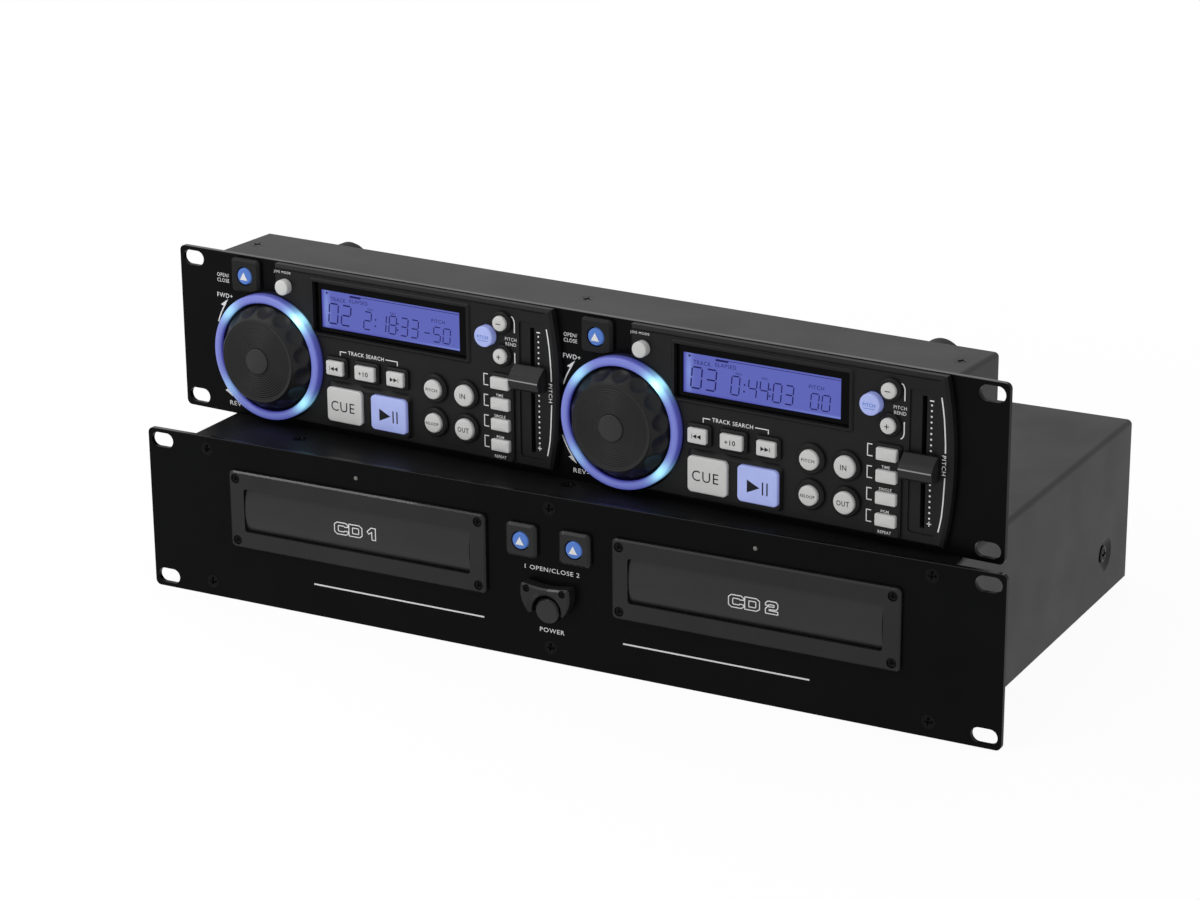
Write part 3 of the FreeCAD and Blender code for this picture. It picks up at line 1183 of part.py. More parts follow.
def fader_knob(deck):
    """Wedge-shaped knob on a flat stem, drawn where it is left standing."""
    x = deck_x(deck) + FADER_U
    z = FADER_Z + FADER_REST[deck]
    base = -FASCIA_RISE - KNOB_GAP
    ridge = base - KNOB_DEPTH
    half = KNOB_H / 2
    profile = [
        V(x, base, z + half), V(x, base - KNOB_FOOT, z + half),
        V(x, ridge + KNOB_SHOULDER, z + KNOB_SHOULDER_Z), V(x, ridge, z + KNOB_RIDGE),
        V(x, ridge + KNOB_NOSE, z - half + KNOB_NOSE_Z), V(x, ridge + 2 * KNOB_NOSE_Z, z - half),
        V(x, base, z - half),
    ]
    cap = Part.Face(Part.makePolygon(profile + [profile[0]])).extrude(V(KNOB_W, 0, 0))
    cap.translate(V(-KNOB_W / 2, 0, 0))
    stem = box(x - FADER_STEM_W / 2, x + FADER_STEM_W / 2, base - 1,
               CTL_BOARD_Y - FADER_POT_D + FADER_STEM_IN, z - FADER_STEM_H / 2, z + FADER_STEM_H / 2)
    return fused([cap, stem])


# ---------------------------------------------------------------- assembly
def player_nodes():
    nodes = {
        "player_front_panel": player_front_panel(),
        "player_chassis": player_chassis(),
        "player_cover": player_cover(),
        "player_trim": player_trim(),
        "player_boards": player_boards(),
        "disc_drives": Part.makeCompound([disc_drive(x) for x in drive_centres()]),
        "power_button": power_button(),
    }
    for k, x in enumerate(drive_centres(), start=1):
        nodes["disc_tray_%d" % k] = disc_tray(x)
        nodes["disc_spindle_%d" % k] = disc_spindle(x)
    for k, x in enumerate((-EJECT_X, EJECT_X), start=1):
        nodes["player_eject_button_%d" % k] = player_eject_button(x)
    return nodes


def controller_nodes():
    nodes = {
        "controller_front_panel": controller_front_panel(),
        "controller_case": controller_case(),
        "controller_feet": controller_feet(),
        "controller_board": controller_board(),
        "deck_mouldings": deck_mouldings(),
        "jog_light_rings": jog_light_rings(),
        "display_units": display_units(),
    }
    for deck in range(DECK_COUNT):
        x = deck_x(deck)
        tag = "deck_%d_" % (deck + 1)
        nodes[tag + "jog_wheel"] = jog_wheel(x)
        nodes[tag + "pitch_fader"] = fader_knob(deck)
        face = -(EJECT_FRAME_RISE + EJECT_BUTTON_PROUD)
        nodes[tag + "eject_button"] = round_button(x + DECK_EJECT_U, DECK_EJECT_Z, 2 * EJECT_BUTTON_R, face)
        for name, (u, z, d) in ROUND_BUTTONS.items():
            nodes[tag + name + "_button"] = round_button(x + u, z, d, BUTTON_FACE)
        for name, (u, z, w, h) in BLOCK_BUTTONS.items():
            nodes[tag + name + "_button"] = block_button(x + u, z, w, h)
    return nodes


PLAYER_PLACE = FreeCAD.Placement(V(0, -Y_MIDDLE, 0), FreeCAD.Rotation())
CONTROLLER_PLACE = FreeCAD.Placement(V(CTL_X, CTL_SETBACK - Y_MIDDLE, CTL_Z),
                                     FreeCAD.Rotation(V(0, 0, 1), CTL_YAW))


def main():
    os.makedirs("parts", exist_ok=True)
    for nodes, place in ((player_nodes(), PLAYER_PLACE), (controller_nodes(), CONTROLLER_PLACE)):
        for name, shape in nodes.items():
            shape = shape.copy()
            shape.Placement = place.multiply(shape.Placement)
            shape.exportStep("parts/%s.step" % name)
            print("%-36s solids %2d  faces %4d  valid %s" % (
                name, len(shape.Solids), len(shape.Faces), shape.isValid()))


main()
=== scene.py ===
# %% [markdown]
# # A two-drive disc player with its deck controller
# The real object is two black rack units. The lower one holds two tray drives. The upper one is
# a remote controller that stands on the lower unit's cover, and it has two decks, each with a jog
# wheel in a lit ring, a display, keys and a pitch fader. The solid parts come ready from the CAD
# model in metres, so this file only adds what a designer calls dressing: finishes, turned and
# moulded surfaces that want smooth curves, screws, printing and light.

# %% Load the solids
import math
import bpy
import bmesh
import numpy as np
from mathutils import Matrix


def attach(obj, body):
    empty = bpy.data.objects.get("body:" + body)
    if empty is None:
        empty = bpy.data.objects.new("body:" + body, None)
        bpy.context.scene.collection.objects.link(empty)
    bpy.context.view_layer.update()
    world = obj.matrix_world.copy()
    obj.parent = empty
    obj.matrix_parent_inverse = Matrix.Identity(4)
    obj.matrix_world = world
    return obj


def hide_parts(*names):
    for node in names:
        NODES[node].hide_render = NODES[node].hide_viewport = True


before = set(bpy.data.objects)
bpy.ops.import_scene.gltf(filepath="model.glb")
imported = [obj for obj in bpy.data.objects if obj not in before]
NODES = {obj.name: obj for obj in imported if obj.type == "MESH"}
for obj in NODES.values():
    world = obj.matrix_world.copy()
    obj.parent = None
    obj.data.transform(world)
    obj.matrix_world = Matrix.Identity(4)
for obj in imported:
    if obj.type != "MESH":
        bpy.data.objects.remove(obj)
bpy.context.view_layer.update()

# %% [markdown]
# Each unit was drawn in its own frame: x to the right from the middle of its front panel, y to
# the rear from the panel's face, z up from the panel's lower edge, all in millimetres. The player
# stands square to the room. The controller stands turned by a few degrees on the player's cover.
# Two small functions take whole arrays of points from these frames into the room, so every later
# piece can be written with the sizes a maker would use.

# %% The two units' frames
HALF_DEPTH = 123.75
COVER_TOP, PANEL_H = 88.2, 88.4
CONTROLLER_SETBACK = 27.4
CONTROLLER_AT = (-5.4, CONTROLLER_SETBACK - HALF_DEPTH)
CONTROLLER_YAW = math.radians(-3.75)
JOG_X, DECK_PITCH, JOG_Z = -180.1, 216.7, 37.3
DECKS = (1, 2)


def on_player(x, y, z):
    """Room point = (x, y - half depth, z), turned from millimetres into metres."""
    x, y, z = np.broadcast_arrays(x, y, z)
    return np.stack([x, y - HALF_DEPTH, z], axis=-1) * 0.001


def on_controller(x, y, z):
    """Room point = place + (x cos a - y sin a, x sin a + y cos a), and the cover's height + z."""
    x, y, z = np.broadcast_arrays(x, y, z)
    c, s = math.cos(CONTROLLER_YAW), math.sin(CONTROLLER_YAW)
    return np.stack([CONTROLLER_AT[0] + x * c - y * s, CONTROLLER_AT[1] + x * s + y * c,
                     COVER_TOP + z], axis=-1) * 0.001


def deck_frame(deck):
    """A deck's own map: u to the right of its jog axis, z up, rise in front of the panel."""
    axis_x = JOG_X + (deck - 1) * DECK_PITCH
    return lambda u, z, rise: on_controller(axis_x + np.asarray(u, float), -np.asarray(rise, float), z)


def player_frame(u, z, rise):
    """The player's front seen the same way: u from the middle, z up, rise in front."""
    return on_player(u, -np.asarray(rise, float), z)


print("jog axes, mm:", [np.round(deck_frame(deck)(0, JOG_Z, 0) * 1000, 1).tolist() for deck in DECKS])

# %% [markdown]
# ## Meshes from arrays
# Nearly every new piece is a grid: one index runs round or across the piece, the other from its
# middle to its edge. A grid needs no modelling by hand, because the corner numbers of all its
# faces follow from the two indices. Where a grid shrinks to a point the doubled corners are merged,
# and a closed piece has its faces turned outwards.

# %% Grid helpers
def full_turn(count):
    """Equal steps round a full turn, in radians."""
    return np.arange(count) * 2 * np.pi / count


def polar(radius, turn):
    """Distance to the right = radius cos a, distance up = radius sin a."""
    return radius * np.cos(turn), radius * np.sin(turn)


def grid_faces(rows, cols, wrap):
    """Quad (i, j), (i, j+1), (i+1, j+1), (i+1, j) per cell; wrap joins the last column to the first."""
    i = np.arange(rows - 1)[:, None]
    j = np.arange(cols if wrap else cols - 1)[None, :]
    k = (j + 1) % cols
    quads = np.stack([i * cols + j, i * cols + k, (i + 1) * cols + k, (i + 1) * cols + j], axis=-1)
    return quads.reshape(-1, 4)


def joined(pieces):
    """One list of points and faces from many: a face's numbers move on by the points before it."""
    starts = np.cumsum([0] + [len(points) for points, _ in pieces[:-1]])
    faces = [[int(corner + start) for corner in face]
             for (_, own_faces), start in zip(pieces, starts) for face in own_faces]
    return np.concatenate([points for points, _ in pieces]), faces


print("a 3 by 4 grid has", len(grid_faces(3, 4, False)), "faces")

# %% From arrays to pieces
DOUBLED = 2e-6


def in_scene(name, data):
    """A new object at the origin that holds a mesh, a curve, a lamp or the camera."""
    thing = bpy.data.objects.new(name, data)
    bpy.context.scene.collection.objects.link(thing)
    return thing


def add_piece(name, points, faces, finish, body, closed=False, sharp=40.0, smooth=True):
    """Puts points and faces into a mesh at the origin, gives it a finish and a body to ride on."""
    mesh = bpy.data.meshes.new(name)
    mesh.from_pydata(np.asarray(points, float).reshape(-1, 3).tolist(), [], [list(f) for f in faces])
    if closed:
        work = bmesh.new()
        work.from_mesh(mesh)
        bmesh.ops.remove_doubles(work, verts=work.verts, dist=DOUBLED)
        bmesh.ops.recalc_face_normals(work, faces=work.faces)
        work.to_mesh(mesh)
        work.free()
    mesh.polygons.foreach_set("use_smooth", np.full(len(mesh.polygons), smooth))
    if smooth:
        mesh.set_sharp_from_angle(angle=math.radians(sharp))
    mesh.materials.append(finish)
    mesh.update()
    piece = in_scene(name, mesh)
    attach(piece, body)
    return piece


print("corners nearer than", DOUBLED * 1000, "mm are merged")

# %% [markdown]
# ## Finishes
# A finish is a small net of nodes. Three helpers keep the net readable: one makes a node and fills
# in its sockets, one makes noise of a given size, one lays a value out between two others. All
# noise reads object coordinates, which on every piece are the room's, so a grain has the same size
# everywhere.

# %% Node helpers
def fill(tree, node, sockets):
    """Every named socket gets a link where the value comes from a node, and else the plain value."""
    for socket, value in sockets.items():
        if isinstance(value, bpy.types.NodeSocket):
            tree.links.new(value, node.inputs[socket])
        else:
            node.inputs[socket].default_value = value


def made(tree, kind, output, sockets, **settings):
    """One output of a new node whose settings and sockets are filled in."""
    node = tree.nodes.new(kind)
    for setting, value in settings.items():
        setattr(node, setting, value)
    fill(tree, node, sockets)
    return node.outputs[output]


def new_material(name):
    """A material, its node tree, its shader and the object coordinates."""
    material = bpy.data.materials.new(name)
    material.use_nodes = True
    tree = material.node_tree
    return material, tree, tree.nodes["Principled BSDF"], made(tree, "ShaderNodeTexCoord", "Object", {})


def noise(tree, place, size_mm, detail):
    """Noise whose features are about size_mm across."""
    return made(tree, "ShaderNodeTexNoise", "Fac",
                {"Scale": 1000.0 / size_mm, "Detail": detail, "Roughness": 0.55, "Vector": place})


def ranged(tree, value, low, high, start=0.25, end=0.75):
    """Value between start and end laid out between low and high."""
    return made(tree, "ShaderNodeMapRange", "Result",
                {"From Min": start, "From Max": end, "To Min": low, "To Max": high, "Value": value})


def blended(tree, factor, first, second):
    """Colour between first and second by factor; either may come from a node."""
    first, second = (c if isinstance(c, bpy.types.NodeSocket) else (*c, 1.0) for c in (first, second))
    return made(tree, "ShaderNodeMix", "Result", {"A": first, "B": second, "Factor": factor},
                data_type="RGBA")


def combined(tree, operation, first, second):
    """Two values put through one clamped arithmetic operation."""
    return made(tree, "ShaderNodeMath", "Value", {0: first, 1: second}, operation=operation,
                use_clamp=True)


print("noise of 0.5 mm has the scale", 1000.0 / 0.5)

# %% [markdown]
# The two units are mostly black, and they differ in how they shine: the steel panels have a satin
# paint, the covers a finer and duller powder coat, the fascia and the bezels a grained moulding.
# One function makes them all from the same idea. A broad noise moves the colour and the roughness
# a little, as handling and paint do, and a fine noise gives the grain as a bump. A panel's cut
# upper edge is smoother than its face, so it shines more, and its paint knows that edge's height.

# %% Grained finishes
PATCH_MM = 35.0
RIM = 0.3


def grained(name, colour, roughness, grain_mm, grain_depth, specular=0.5, spread=0.25,
            metallic=0.0, coat=0.0):
    """Colour and roughness wander by spread over patches; a fine noise of grain_mm is the bump."""
    material, tree, shader, place = new_material(name)
    patches = noise(tree, place, PATCH_MM, 3.0)
    colour = np.array(colour)
    dark, light = colour * (1 - spread), np.minimum(colour * (1 + spread), 1.0)
    bump = {"Distance": grain_depth * 0.001, "Strength": 0.6, "Height": noise(tree, place, grain_mm, 2.0)}
    fill(tree, shader, {
        "Base Color": blended(tree, ranged(tree, patches, 0.0, 1.0), dark, light),
        "Roughness": ranged(tree, patches, roughness - 0.04, roughness + 0.04),
        "Normal": made(tree, "ShaderNodeBump", "Normal", bump),
        "Specular IOR Level": specular, "Metallic": metallic, "Coat Weight": coat})
    return material


def panel_paint(name, top):
    """Panel paint that turns glossy a little below the panel's top edge, whose height is given in mm."""
    material = grained(name, (0.0026, 0.0027, 0.0032), 0.34, 0.5, 0.012, specular=0.05)
    tree = material.node_tree
    place = made(tree, "ShaderNodeTexCoord", "Object", {})
    height = made(tree, "ShaderNodeSeparateXYZ", "Z", {"Vector": place})
    edge = (top - RIM) * 0.001
    fill(tree, tree.nodes["Principled BSDF"],
         {"Specular IOR Level": ranged(tree, height, 0.05, 0.45, edge, edge + 0.0001)})
    return material


PLAYER_PAINT = panel_paint("player_panel_paint", PANEL_H)
CONTROLLER_PAINT = panel_paint("controller_panel_paint", COVER_TOP + PANEL_H)
PLAYER_COAT = grained("player_cover_coat", (0.0035, 0.0035, 0.0038), 0.5, 0.35, 0.05, specular=0.24)
CASE_COAT = grained("controller_case_coat", (0.0125, 0.0125, 0.013), 0.5, 0.35, 0.06, specular=0.25)
FASCIA = grained("fascia_moulding", (0.011, 0.011, 0.0115), 0.45, 0.28, 0.03, specular=0.14)
BEZEL = grained("bezel_moulding", (0.012, 0.012, 0.0125), 0.4, 0.28, 0.03, specular=0.2, coat=0.1)
TRAY = grained("tray_plastic", (0.0105, 0.0105, 0.011), 0.34, 0.3, 0.015, specular=0.36)
WHEEL = grained("wheel_plastic", (0.009, 0.009, 0.009), 0.42, 0.3, 0.03, specular=0.25)
# The disc is the wheel's plastic painted lighter: painted light, standing for the darker look of the
# grooved field round it.
WHEEL_DISC_PAINTED_LIGHTER = grained("wheel_disc_painted_lighter", (0.02, 0.02, 0.02), 0.5, 0.3, 0.02, specular=0.3)
KNOB = grained("fader_knob_plastic", (0.011, 0.011, 0.011), 0.38, 0.3, 0.02, specular=0.25)
RUBBER = grained("foot_rubber", (0.011, 0.011, 0.011), 0.72, 0.4, 0.05, specular=0.3)
KEY_GREY = grained("key_light_grey", (0.7, 0.7, 0.69), 0.36, 0.5, 0.01, specular=0.45, spread=0.03)
DRIVE = grained("drive_frame_plastic", (0.02, 0.02, 0.02), 0.55, 0.4, 0.03)
SCREW = grained("blackened_screw", (0.003, 0.003, 0.0032), 0.3, 0.4, 0.02, specular=0.08)
DISPLAY_MASK = grained("display_mask", (0.0015, 0.0015, 0.0018), 0.2, 0.8, 0.004, specular=0.05)
INK = grained("white_printing", (0.9, 0.9, 0.9), 0.55, 0.25, 0.006, spread=0.03)
GREY_INK = grained("fader_line_printing", (0.3, 0.3, 0.3), 0.5, 0.25, 0.006, spread=0.03)
DARK_INK = grained("key_printing", (0.01, 0.01, 0.014), 0.5, 0.25, 0.006, specular=0.15, spread=0.05)
print("finishes so far:", len(bpy.data.materials))

# %% [markdown]
# Some keys glow: the eject keys are clear blue plastic, and the play and bend keys are lit from
# behind. A lit key is a plastic with its own soft light. Noise moves that light a little, because
# a real diffuser is never quite even. The circuit boards and the sockets of a unit are one CAD
# node, and its finish tells them apart by place: the boards are green, the sockets' black bodies
# begin behind a certain plane, and what stands outside the rear wall is nickel, except the inlet.

# %% Lit keys, board and sockets
INLET_X = 0.150


def lit_plastic(name, colour, light, strength):
    """Plastic of one colour with a light of its own; a broad noise varies both by up to a tenth."""
    material, tree, shader, place = new_material(name)
    cloud = noise(tree, place, 9.0, 2.0)
    colour, light = np.array(colour), np.array(light)
    fill(tree, shader, {
        "Base Color": blended(tree, cloud, colour * 0.9, np.minimum(colour * 1.1, 1)),
        "Emission Color": blended(tree, cloud, light * 0.94, np.minimum(light * 1.06, 1)),
        "Emission Strength": strength, "Roughness": 0.32})
    return material


def board_and_sockets(name, body_y, body_z, metal_y):
    """Green board, black sockets behind body_y and above body_z, nickel behind metal_y, in metres."""
    material, tree, shader, place = new_material(name)
    beyond = {}
    for limit, axis, start, blur in (("behind", "Y", body_y, 0.0005), ("above", "Z", body_z, 0.0002),
                                     ("outside", "Y", metal_y, 0.0005), ("inlet", "X", INLET_X, 0.001)):
        distance = made(tree, "ShaderNodeSeparateXYZ", axis, {"Vector": place})
        beyond[limit] = ranged(tree, distance, 0.0, 1.0, start, start + blur)
    metal = combined(tree, "SUBTRACT", beyond["outside"], beyond["inlet"])
    socket = combined(tree, "MULTIPLY", beyond["behind"], beyond["above"])
    mottle = noise(tree, place, 3.0, 3.0)
    green = blended(tree, mottle, (0.006, 0.05, 0.02), (0.015, 0.10, 0.04))
    plain = blended(tree, socket, green, (0.012, 0.012, 0.012))
    fill(tree, shader, {"Base Color": blended(tree, metal, plain, (0.55, 0.54, 0.5)), "Metallic": metal,
                        "Roughness": ranged(tree, mottle, 0.3, 0.45)})
    return material


KEY_BLUE = lit_plastic("eject_key_blue", (0.025, 0.12, 0.45), (0.2, 0.38, 1.0), 0.18)
KEY_LIT = lit_plastic("lit_key_periwinkle", (0.40, 0.46, 0.74), (0.28, 0.34, 0.95), 0.24)
LAMP = lit_plastic("tray_lamp", (0.16, 0.16, 0.15), (0.2, 0.2, 0.19), 0.05)
PLAYER_BOARDS = board_and_sockets("player_boards_and_sockets", 0.1035, 0.0109, 0.1207)
CONTROLLER_BOARD = board_and_sockets("controller_board_and_sockets", -0.0675, 0.0, 1.0)
print("finishes:", len(bpy.data.materials))

# %% [markdown]
# ## The jog wheels
# A jog wheel is a turned cap on a wide rim, and the rim has oval finger scallops all round. The
# cap's field carries fine concentric grooves, a smooth disc sits in its middle, and a thin bead
# runs round its edge. A profile of radius and rise is carried round the axis, as a lathe would do.
# The scallops need more than a lathe: on the sloping rim each point is pressed in along the slope
# by an amount that falls from the middle of its oval to nothing at the oval's edge.

# %% Wheel profile
WHEEL_R, CAP_R, CAP_RISE, SIDE_RISE = 28.8, 22.5, 15.7, 7.0
DISC_R, DISC_RISE = 7.0, 17.05
GROOVE_PITCH, GROOVE_DEPTH, DOME = 1.15, 0.34, 0.45
MIDDLE = np.array([(0, 16.0), (DISC_R, 16.0), (DISC_R + 0.25, 16.25), (DISC_R + 0.6, 16.3)])
BEAD = np.array([(-1.4, 0.2), (-1.0, 0.35), (-0.7, 0.55), (-0.35, 0.55), (-0.1, 0.35),
                 (0, 0)]) + (CAP_R, CAP_RISE)
SIDE = np.array([(WHEEL_R - 0.25, 6.6), (WHEEL_R, 6.0), (WHEEL_R, 1.4), (WHEEL_R - 0.2, 1.2), (0, 1.2)])


def groove_field(start, end):
    """Rise = a dome that falls with the square of the radius, less depth (1 - cos(2 pi r / pitch)) / 2."""
    r = np.arange(start, end, GROOVE_PITCH / 6)
    across = (r - start) / (end - start)
    dome = CAP_RISE + 0.15 + DOME * (1 - across ** 2)
    wave = 1 - np.cos(2 * np.pi * (r - start) / GROOVE_PITCH)
    return np.stack([r, dome - GROOVE_DEPTH * 0.5 * wave], axis=1)


def rim_slope(s):
    """Radius and rise from the cap down to the side, bowed outwards by 0.8 sin(pi s)."""
    run, fall = WHEEL_R - CAP_R - 0.7, CAP_RISE - SIDE_RISE
    return np.stack([CAP_R + run * s + 0.8 * np.sin(np.pi * s), CAP_RISE - fall * s], axis=1)


FIELD = groove_field(DISC_R + 0.8, CAP_R - 1.7)
print("grooves:", int((FIELD[-1, 0] - FIELD[0, 0]) / GROOVE_PITCH))

# %% Scallops and the whole wheel
SCALLOPS, SCALLOP_DEPTH, COLUMNS_PER_SCALLOP = 15, 1.5, 18
OVAL_AT, OVAL_HALF_LENGTH, OVAL_HALF_WIDTH = 0.53, 0.44, 0.43
DISC = np.array([(0, 0.0), (DISC_R - 0.8, -0.05), (DISC_R - 0.3, -0.2), (DISC_R, -0.6), (DISC_R, -1.0)])


def wheel_grid():
    """Rows from the cap's middle to the back; press = depth (1 - the oval's two squared shares)."""
    s = np.linspace(0, 1, 22)[1:]
    profile = np.concatenate([MIDDLE, FIELD, BEAD, rim_slope(s), SIDE])
    along = np.full(len(profile), -1.0)
    first = len(MIDDLE) + len(FIELD) + len(BEAD)
    along[first:first + len(s)] = s
    turn = full_turn(SCALLOPS * COLUMNS_PER_SCALLOP)
    phase = (turn * SCALLOPS / (2 * np.pi)) % 1.0 - 0.5
    lengthwise = (along[:, None] - OVAL_AT) / OVAL_HALF_LENGTH
    oval = 1 - (phase[None, :] / OVAL_HALF_WIDTH) ** 2 - lengthwise ** 2
    press = SCALLOP_DEPTH * np.clip(oval, 0, None) * (along[:, None] >= 0)
    run, fall = WHEEL_R - CAP_R, CAP_RISE - SIDE_RISE
    steep = math.hypot(run, fall)
    return *polar(profile[:, :1] - press * fall / steep, turn), profile[:, 1:] - press * run / steep


def jog_wheel(deck):
    """The wheel in one piece, and the smooth disc in its middle as another; the disc's lighter colour is
    painted light.
    """
    body, place = f"deck_{deck}_jog_wheel", deck_frame(deck)
    across, up, rise = wheel_grid()
    wheel = add_piece(f"jog_wheel_{deck}", place(across, JOG_Z + up, rise), grid_faces(*across.shape, True),
                      WHEEL, body, closed=True, sharp=50)
    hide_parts(f"deck_{deck}_jog_wheel")
    across, up = polar(DISC[:, :1], full_turn(96))
    add_piece(f"jog_wheel_{deck}_disc", place(across, JOG_Z + up, DISC_RISE + DISC[:, 1:]),
              grid_faces(*across.shape, True)[:, ::-1], WHEEL_DISC_PAINTED_LIGHTER, body, sharp=60)
    return wheel


for deck in DECKS:
    print(jog_wheel(deck).name, "with", SCALLOPS, "scallops")

# %% [markdown]
# The ring round each wheel is a frosted light guide. Four small lamps of unequal strength sit
# behind it, so it is periwinkle nearly everywhere, paler and cyan in front of each lamp, violet
# along the two edges of its crown, and dim on its walls. These colours follow the ring, so they are
# worked out per point and stored as attributes of the mesh, which the material reads.

# %% A finish that glows by attribute
def lit_by_attribute(name, roughness, base, specular=0.5):
    """Light = the points' 'glow' times their 'power'; where power is low the plastic itself is dark."""
    material, tree, shader, place = new_material(name)
    glow = made(tree, "ShaderNodeAttribute", "Color", {}, attribute_name="glow")
    power = made(tree, "ShaderNodeAttribute", "Fac", {}, attribute_name="power")
    frost = ranged(tree, noise(tree, place, 0.6, 2.0), roughness - 0.05, roughness + 0.05)
    base = np.array(base)
    own = blended(tree, frost, base * 0.9, base * 1.1)
    lit = ranged(tree, power, 0.0, 1.0, 0.0, 0.9)
    fill(tree, shader, {"Emission Color": glow, "Emission Strength": power, "Roughness": frost,
                        "Base Color": blended(tree, lit, (0.004, 0.004, 0.008), own),
                        "Specular IOR Level": specular})
    return material


def store_glow(piece, colour, power):
    """Writes one colour and one strength per point into the mesh."""
    rgba = np.concatenate([colour.reshape(-1, 3), np.ones((power.size, 1))], axis=1)
    for name, kind, field_name, values in (("glow", "FLOAT_COLOR", "color", rgba),
                                           ("power", "FLOAT", "value", power)):
        attribute = piece.data.attributes.new(name, kind, "POINT")
        attribute.data.foreach_set(field_name, values.astype(np.float32).ravel())


GLOW = lit_by_attribute("ring_light_guide", 0.4, (0.15, 0.17, 0.44))
LCD_LIGHT = lit_by_attribute("display_backlight", 0.2, (0.02, 0.02, 0.05), 0.15)
print("finishes with the two that glow:", len(bpy.data.materials))

# %% Lit rings
RING_OUT_R, RING_W, RING_RISE = 33.8, 4.5, 9.6
RING_CROWN, INNER_GLOW, OUTER_GLOW = 1.6, 0.9, 3.2
RING_VIOLET, RING_BODY, RING_PALE = (np.array(colour) for colour in (
    (0.015, 0.01, 0.18), (0.06, 0.075, 0.28), (0.30, 0.70, 0.80)))
LAMP_TURNS = np.radians([47.0, -41.0, 136.0, -141.0])
LAMP_POWERS = np.array([1.45, 1.0, 0.75, 0.35])
LAMP_REACH, LAMP_TOP = 0.21, 1.5


def ring_light(radius, turn, outer_rows):
    """Violet by the 4th power of the share of half width; lamps = sum of power exp(-(angle / reach)^2)."""
    apart = (turn[:, None] - LAMP_TURNS + np.pi) % (2 * np.pi) - np.pi
    lamps = (LAMP_POWERS * np.exp(-(apart / LAMP_REACH) ** 2)).sum(axis=1)
    lamp = np.clip(lamps, 0, LAMP_TOP)[None, :, None]
    middle, half = RING_OUT_R - RING_W / 2, RING_W / 2
    edge = np.clip(np.abs(radius - middle) / half, 0, 1)[:, None, None] ** 4
    edge[-outer_rows:] = 0.7
    colour = RING_BODY + (RING_VIOLET - RING_BODY) * edge * 0.9
    colour = colour + (RING_PALE - colour) * np.clip(lamp, 0, 1) * (1 - 0.5 * edge)
    power = (0.95 + 0.25 * lamp + 3.0 * np.clip(lamp - 1.0, 0, 1))[..., 0]
    return colour, power * np.ones((len(radius), 1))


def light_ring(deck):
    """A wall, a crown of height c sin a over the half circle, a wall; the walls are dimmed."""
    arc = np.linspace(0, np.pi, 15)
    middle, half = RING_OUT_R - RING_W / 2, RING_W / 2
    shoulder = RING_RISE - RING_CROWN
    inner = [0.02, shoulder - INNER_GLOW]
    outer = [shoulder - OUTER_GLOW, shoulder - OUTER_GLOW - 0.9, 0.02]
    radius = np.concatenate([[middle - half] * 2, middle - half * np.cos(arc), [middle + half] * 3])
    rise = np.concatenate([inner, shoulder + RING_CROWN * np.sin(arc), outer])
    dimmed = np.concatenate([[0.03, 0.05], np.ones(len(arc)), [0.6, 0.05, 0.03]])[:, None]
    turn = full_turn(256)
    across, up = polar(radius[:, None], turn)
    points = deck_frame(deck)(across, JOG_Z + up, rise[:, None])
    colour, power = ring_light(radius, turn, len(outer))
    return points, colour * np.ones(points.shape), power * dimmed


rings = [light_ring(deck) for deck in DECKS]
ring_points, ring_faces = joined([(points.reshape(-1, 3), grid_faces(*points.shape[:2], True)[:, ::-1])
                                  for points, _, _ in rings])
ring = add_piece("jog_light_rings_lit", ring_points, ring_faces, GLOW, "controller", sharp=60)
store_glow(ring, np.concatenate([colour.reshape(-1, 3) for _, colour, _ in rings]),
           np.concatenate([power.ravel() for _, _, power in rings]))
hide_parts("jog_light_rings")
print("ring faces:", len(ring_faces))

# %% [markdown]
# ## Printing
# All lettering here only names functions, as ON or OFF would. A word is set as a flat text curve,
# turned into a mesh, and its outline is stretched to the height and width that the printed word
# has. The letters are plain and thin and stand a little apart, because small words blur when they
# are bold. A line is a ribbon: every point of its path is moved to both sides, square to the path.

# %% Words
LETTER_SPACING = 1.12


def word(text, bold):
    """Points and faces of a word in a box one unit high and wide, centred on the origin."""
    curve = bpy.data.curves.new("word", "FONT")
    curve.body, curve.size, curve.offset = text, 1.0, bold
    curve.resolution_u, curve.space_character = 3, LETTER_SPACING
    setting = in_scene("word", curve)
    bpy.context.view_layer.update()
    mesh = bpy.data.meshes.new_from_object(setting.evaluated_get(bpy.context.evaluated_depsgraph_get()))
    points = np.zeros(len(mesh.vertices) * 3)
    mesh.vertices.foreach_get("co", points)
    points = points.reshape(-1, 3)[:, :2]
    faces = [tuple(face.vertices) for face in mesh.polygons]
    bpy.data.objects.remove(setting)
    bpy.data.curves.remove(curve)
    bpy.data.meshes.remove(mesh)
    low, high = points.min(0), points.max(0)
    return (points - (low + high) / 2) / (high - low), faces


def set_word(text, u, z, width, height, turn=0.0, bold=0.0):
    """A word of the given width and height in mm, centred on (u, z), turned by an angle in degrees."""
    flat, faces = word(text, bold)
    x, y = flat[:, 0] * width, flat[:, 1] * height
    c, s = math.cos(math.radians(turn)), math.sin(math.radians(turn))
    return np.stack([u + x * c - y * s, z + x * s + y * c], axis=1), faces


print("the word CUE has", len(word("CUE", 0.0)[1]), "faces")

# %% Lines and dots
def ribbon(path, width):
    """Path points moved by half the width to both sides, square to the path's direction."""
    path = np.asarray(path, float)
    along = np.gradient(path, axis=0)
    along /= np.linalg.norm(along, axis=1, keepdims=True)
    side = np.stack([-along[:, 1], along[:, 0]], axis=1) * width / 2
    flat = np.stack([path - side, path + side], axis=1).reshape(-1, 2)
    return flat, grid_faces(len(path), 2, False)[:, ::-1]


def bar(u0, z0, u1, z1, width):
    """A straight ribbon between two points."""
    return ribbon([(u0, z0), (u1, z1)], width)


def circle(u, z, radius, turn):
    """Points at the distance of the radius from (u, z), one for every angle."""
    across, up = polar(radius, turn)
    return np.stack([u + across, z + up], axis=1)


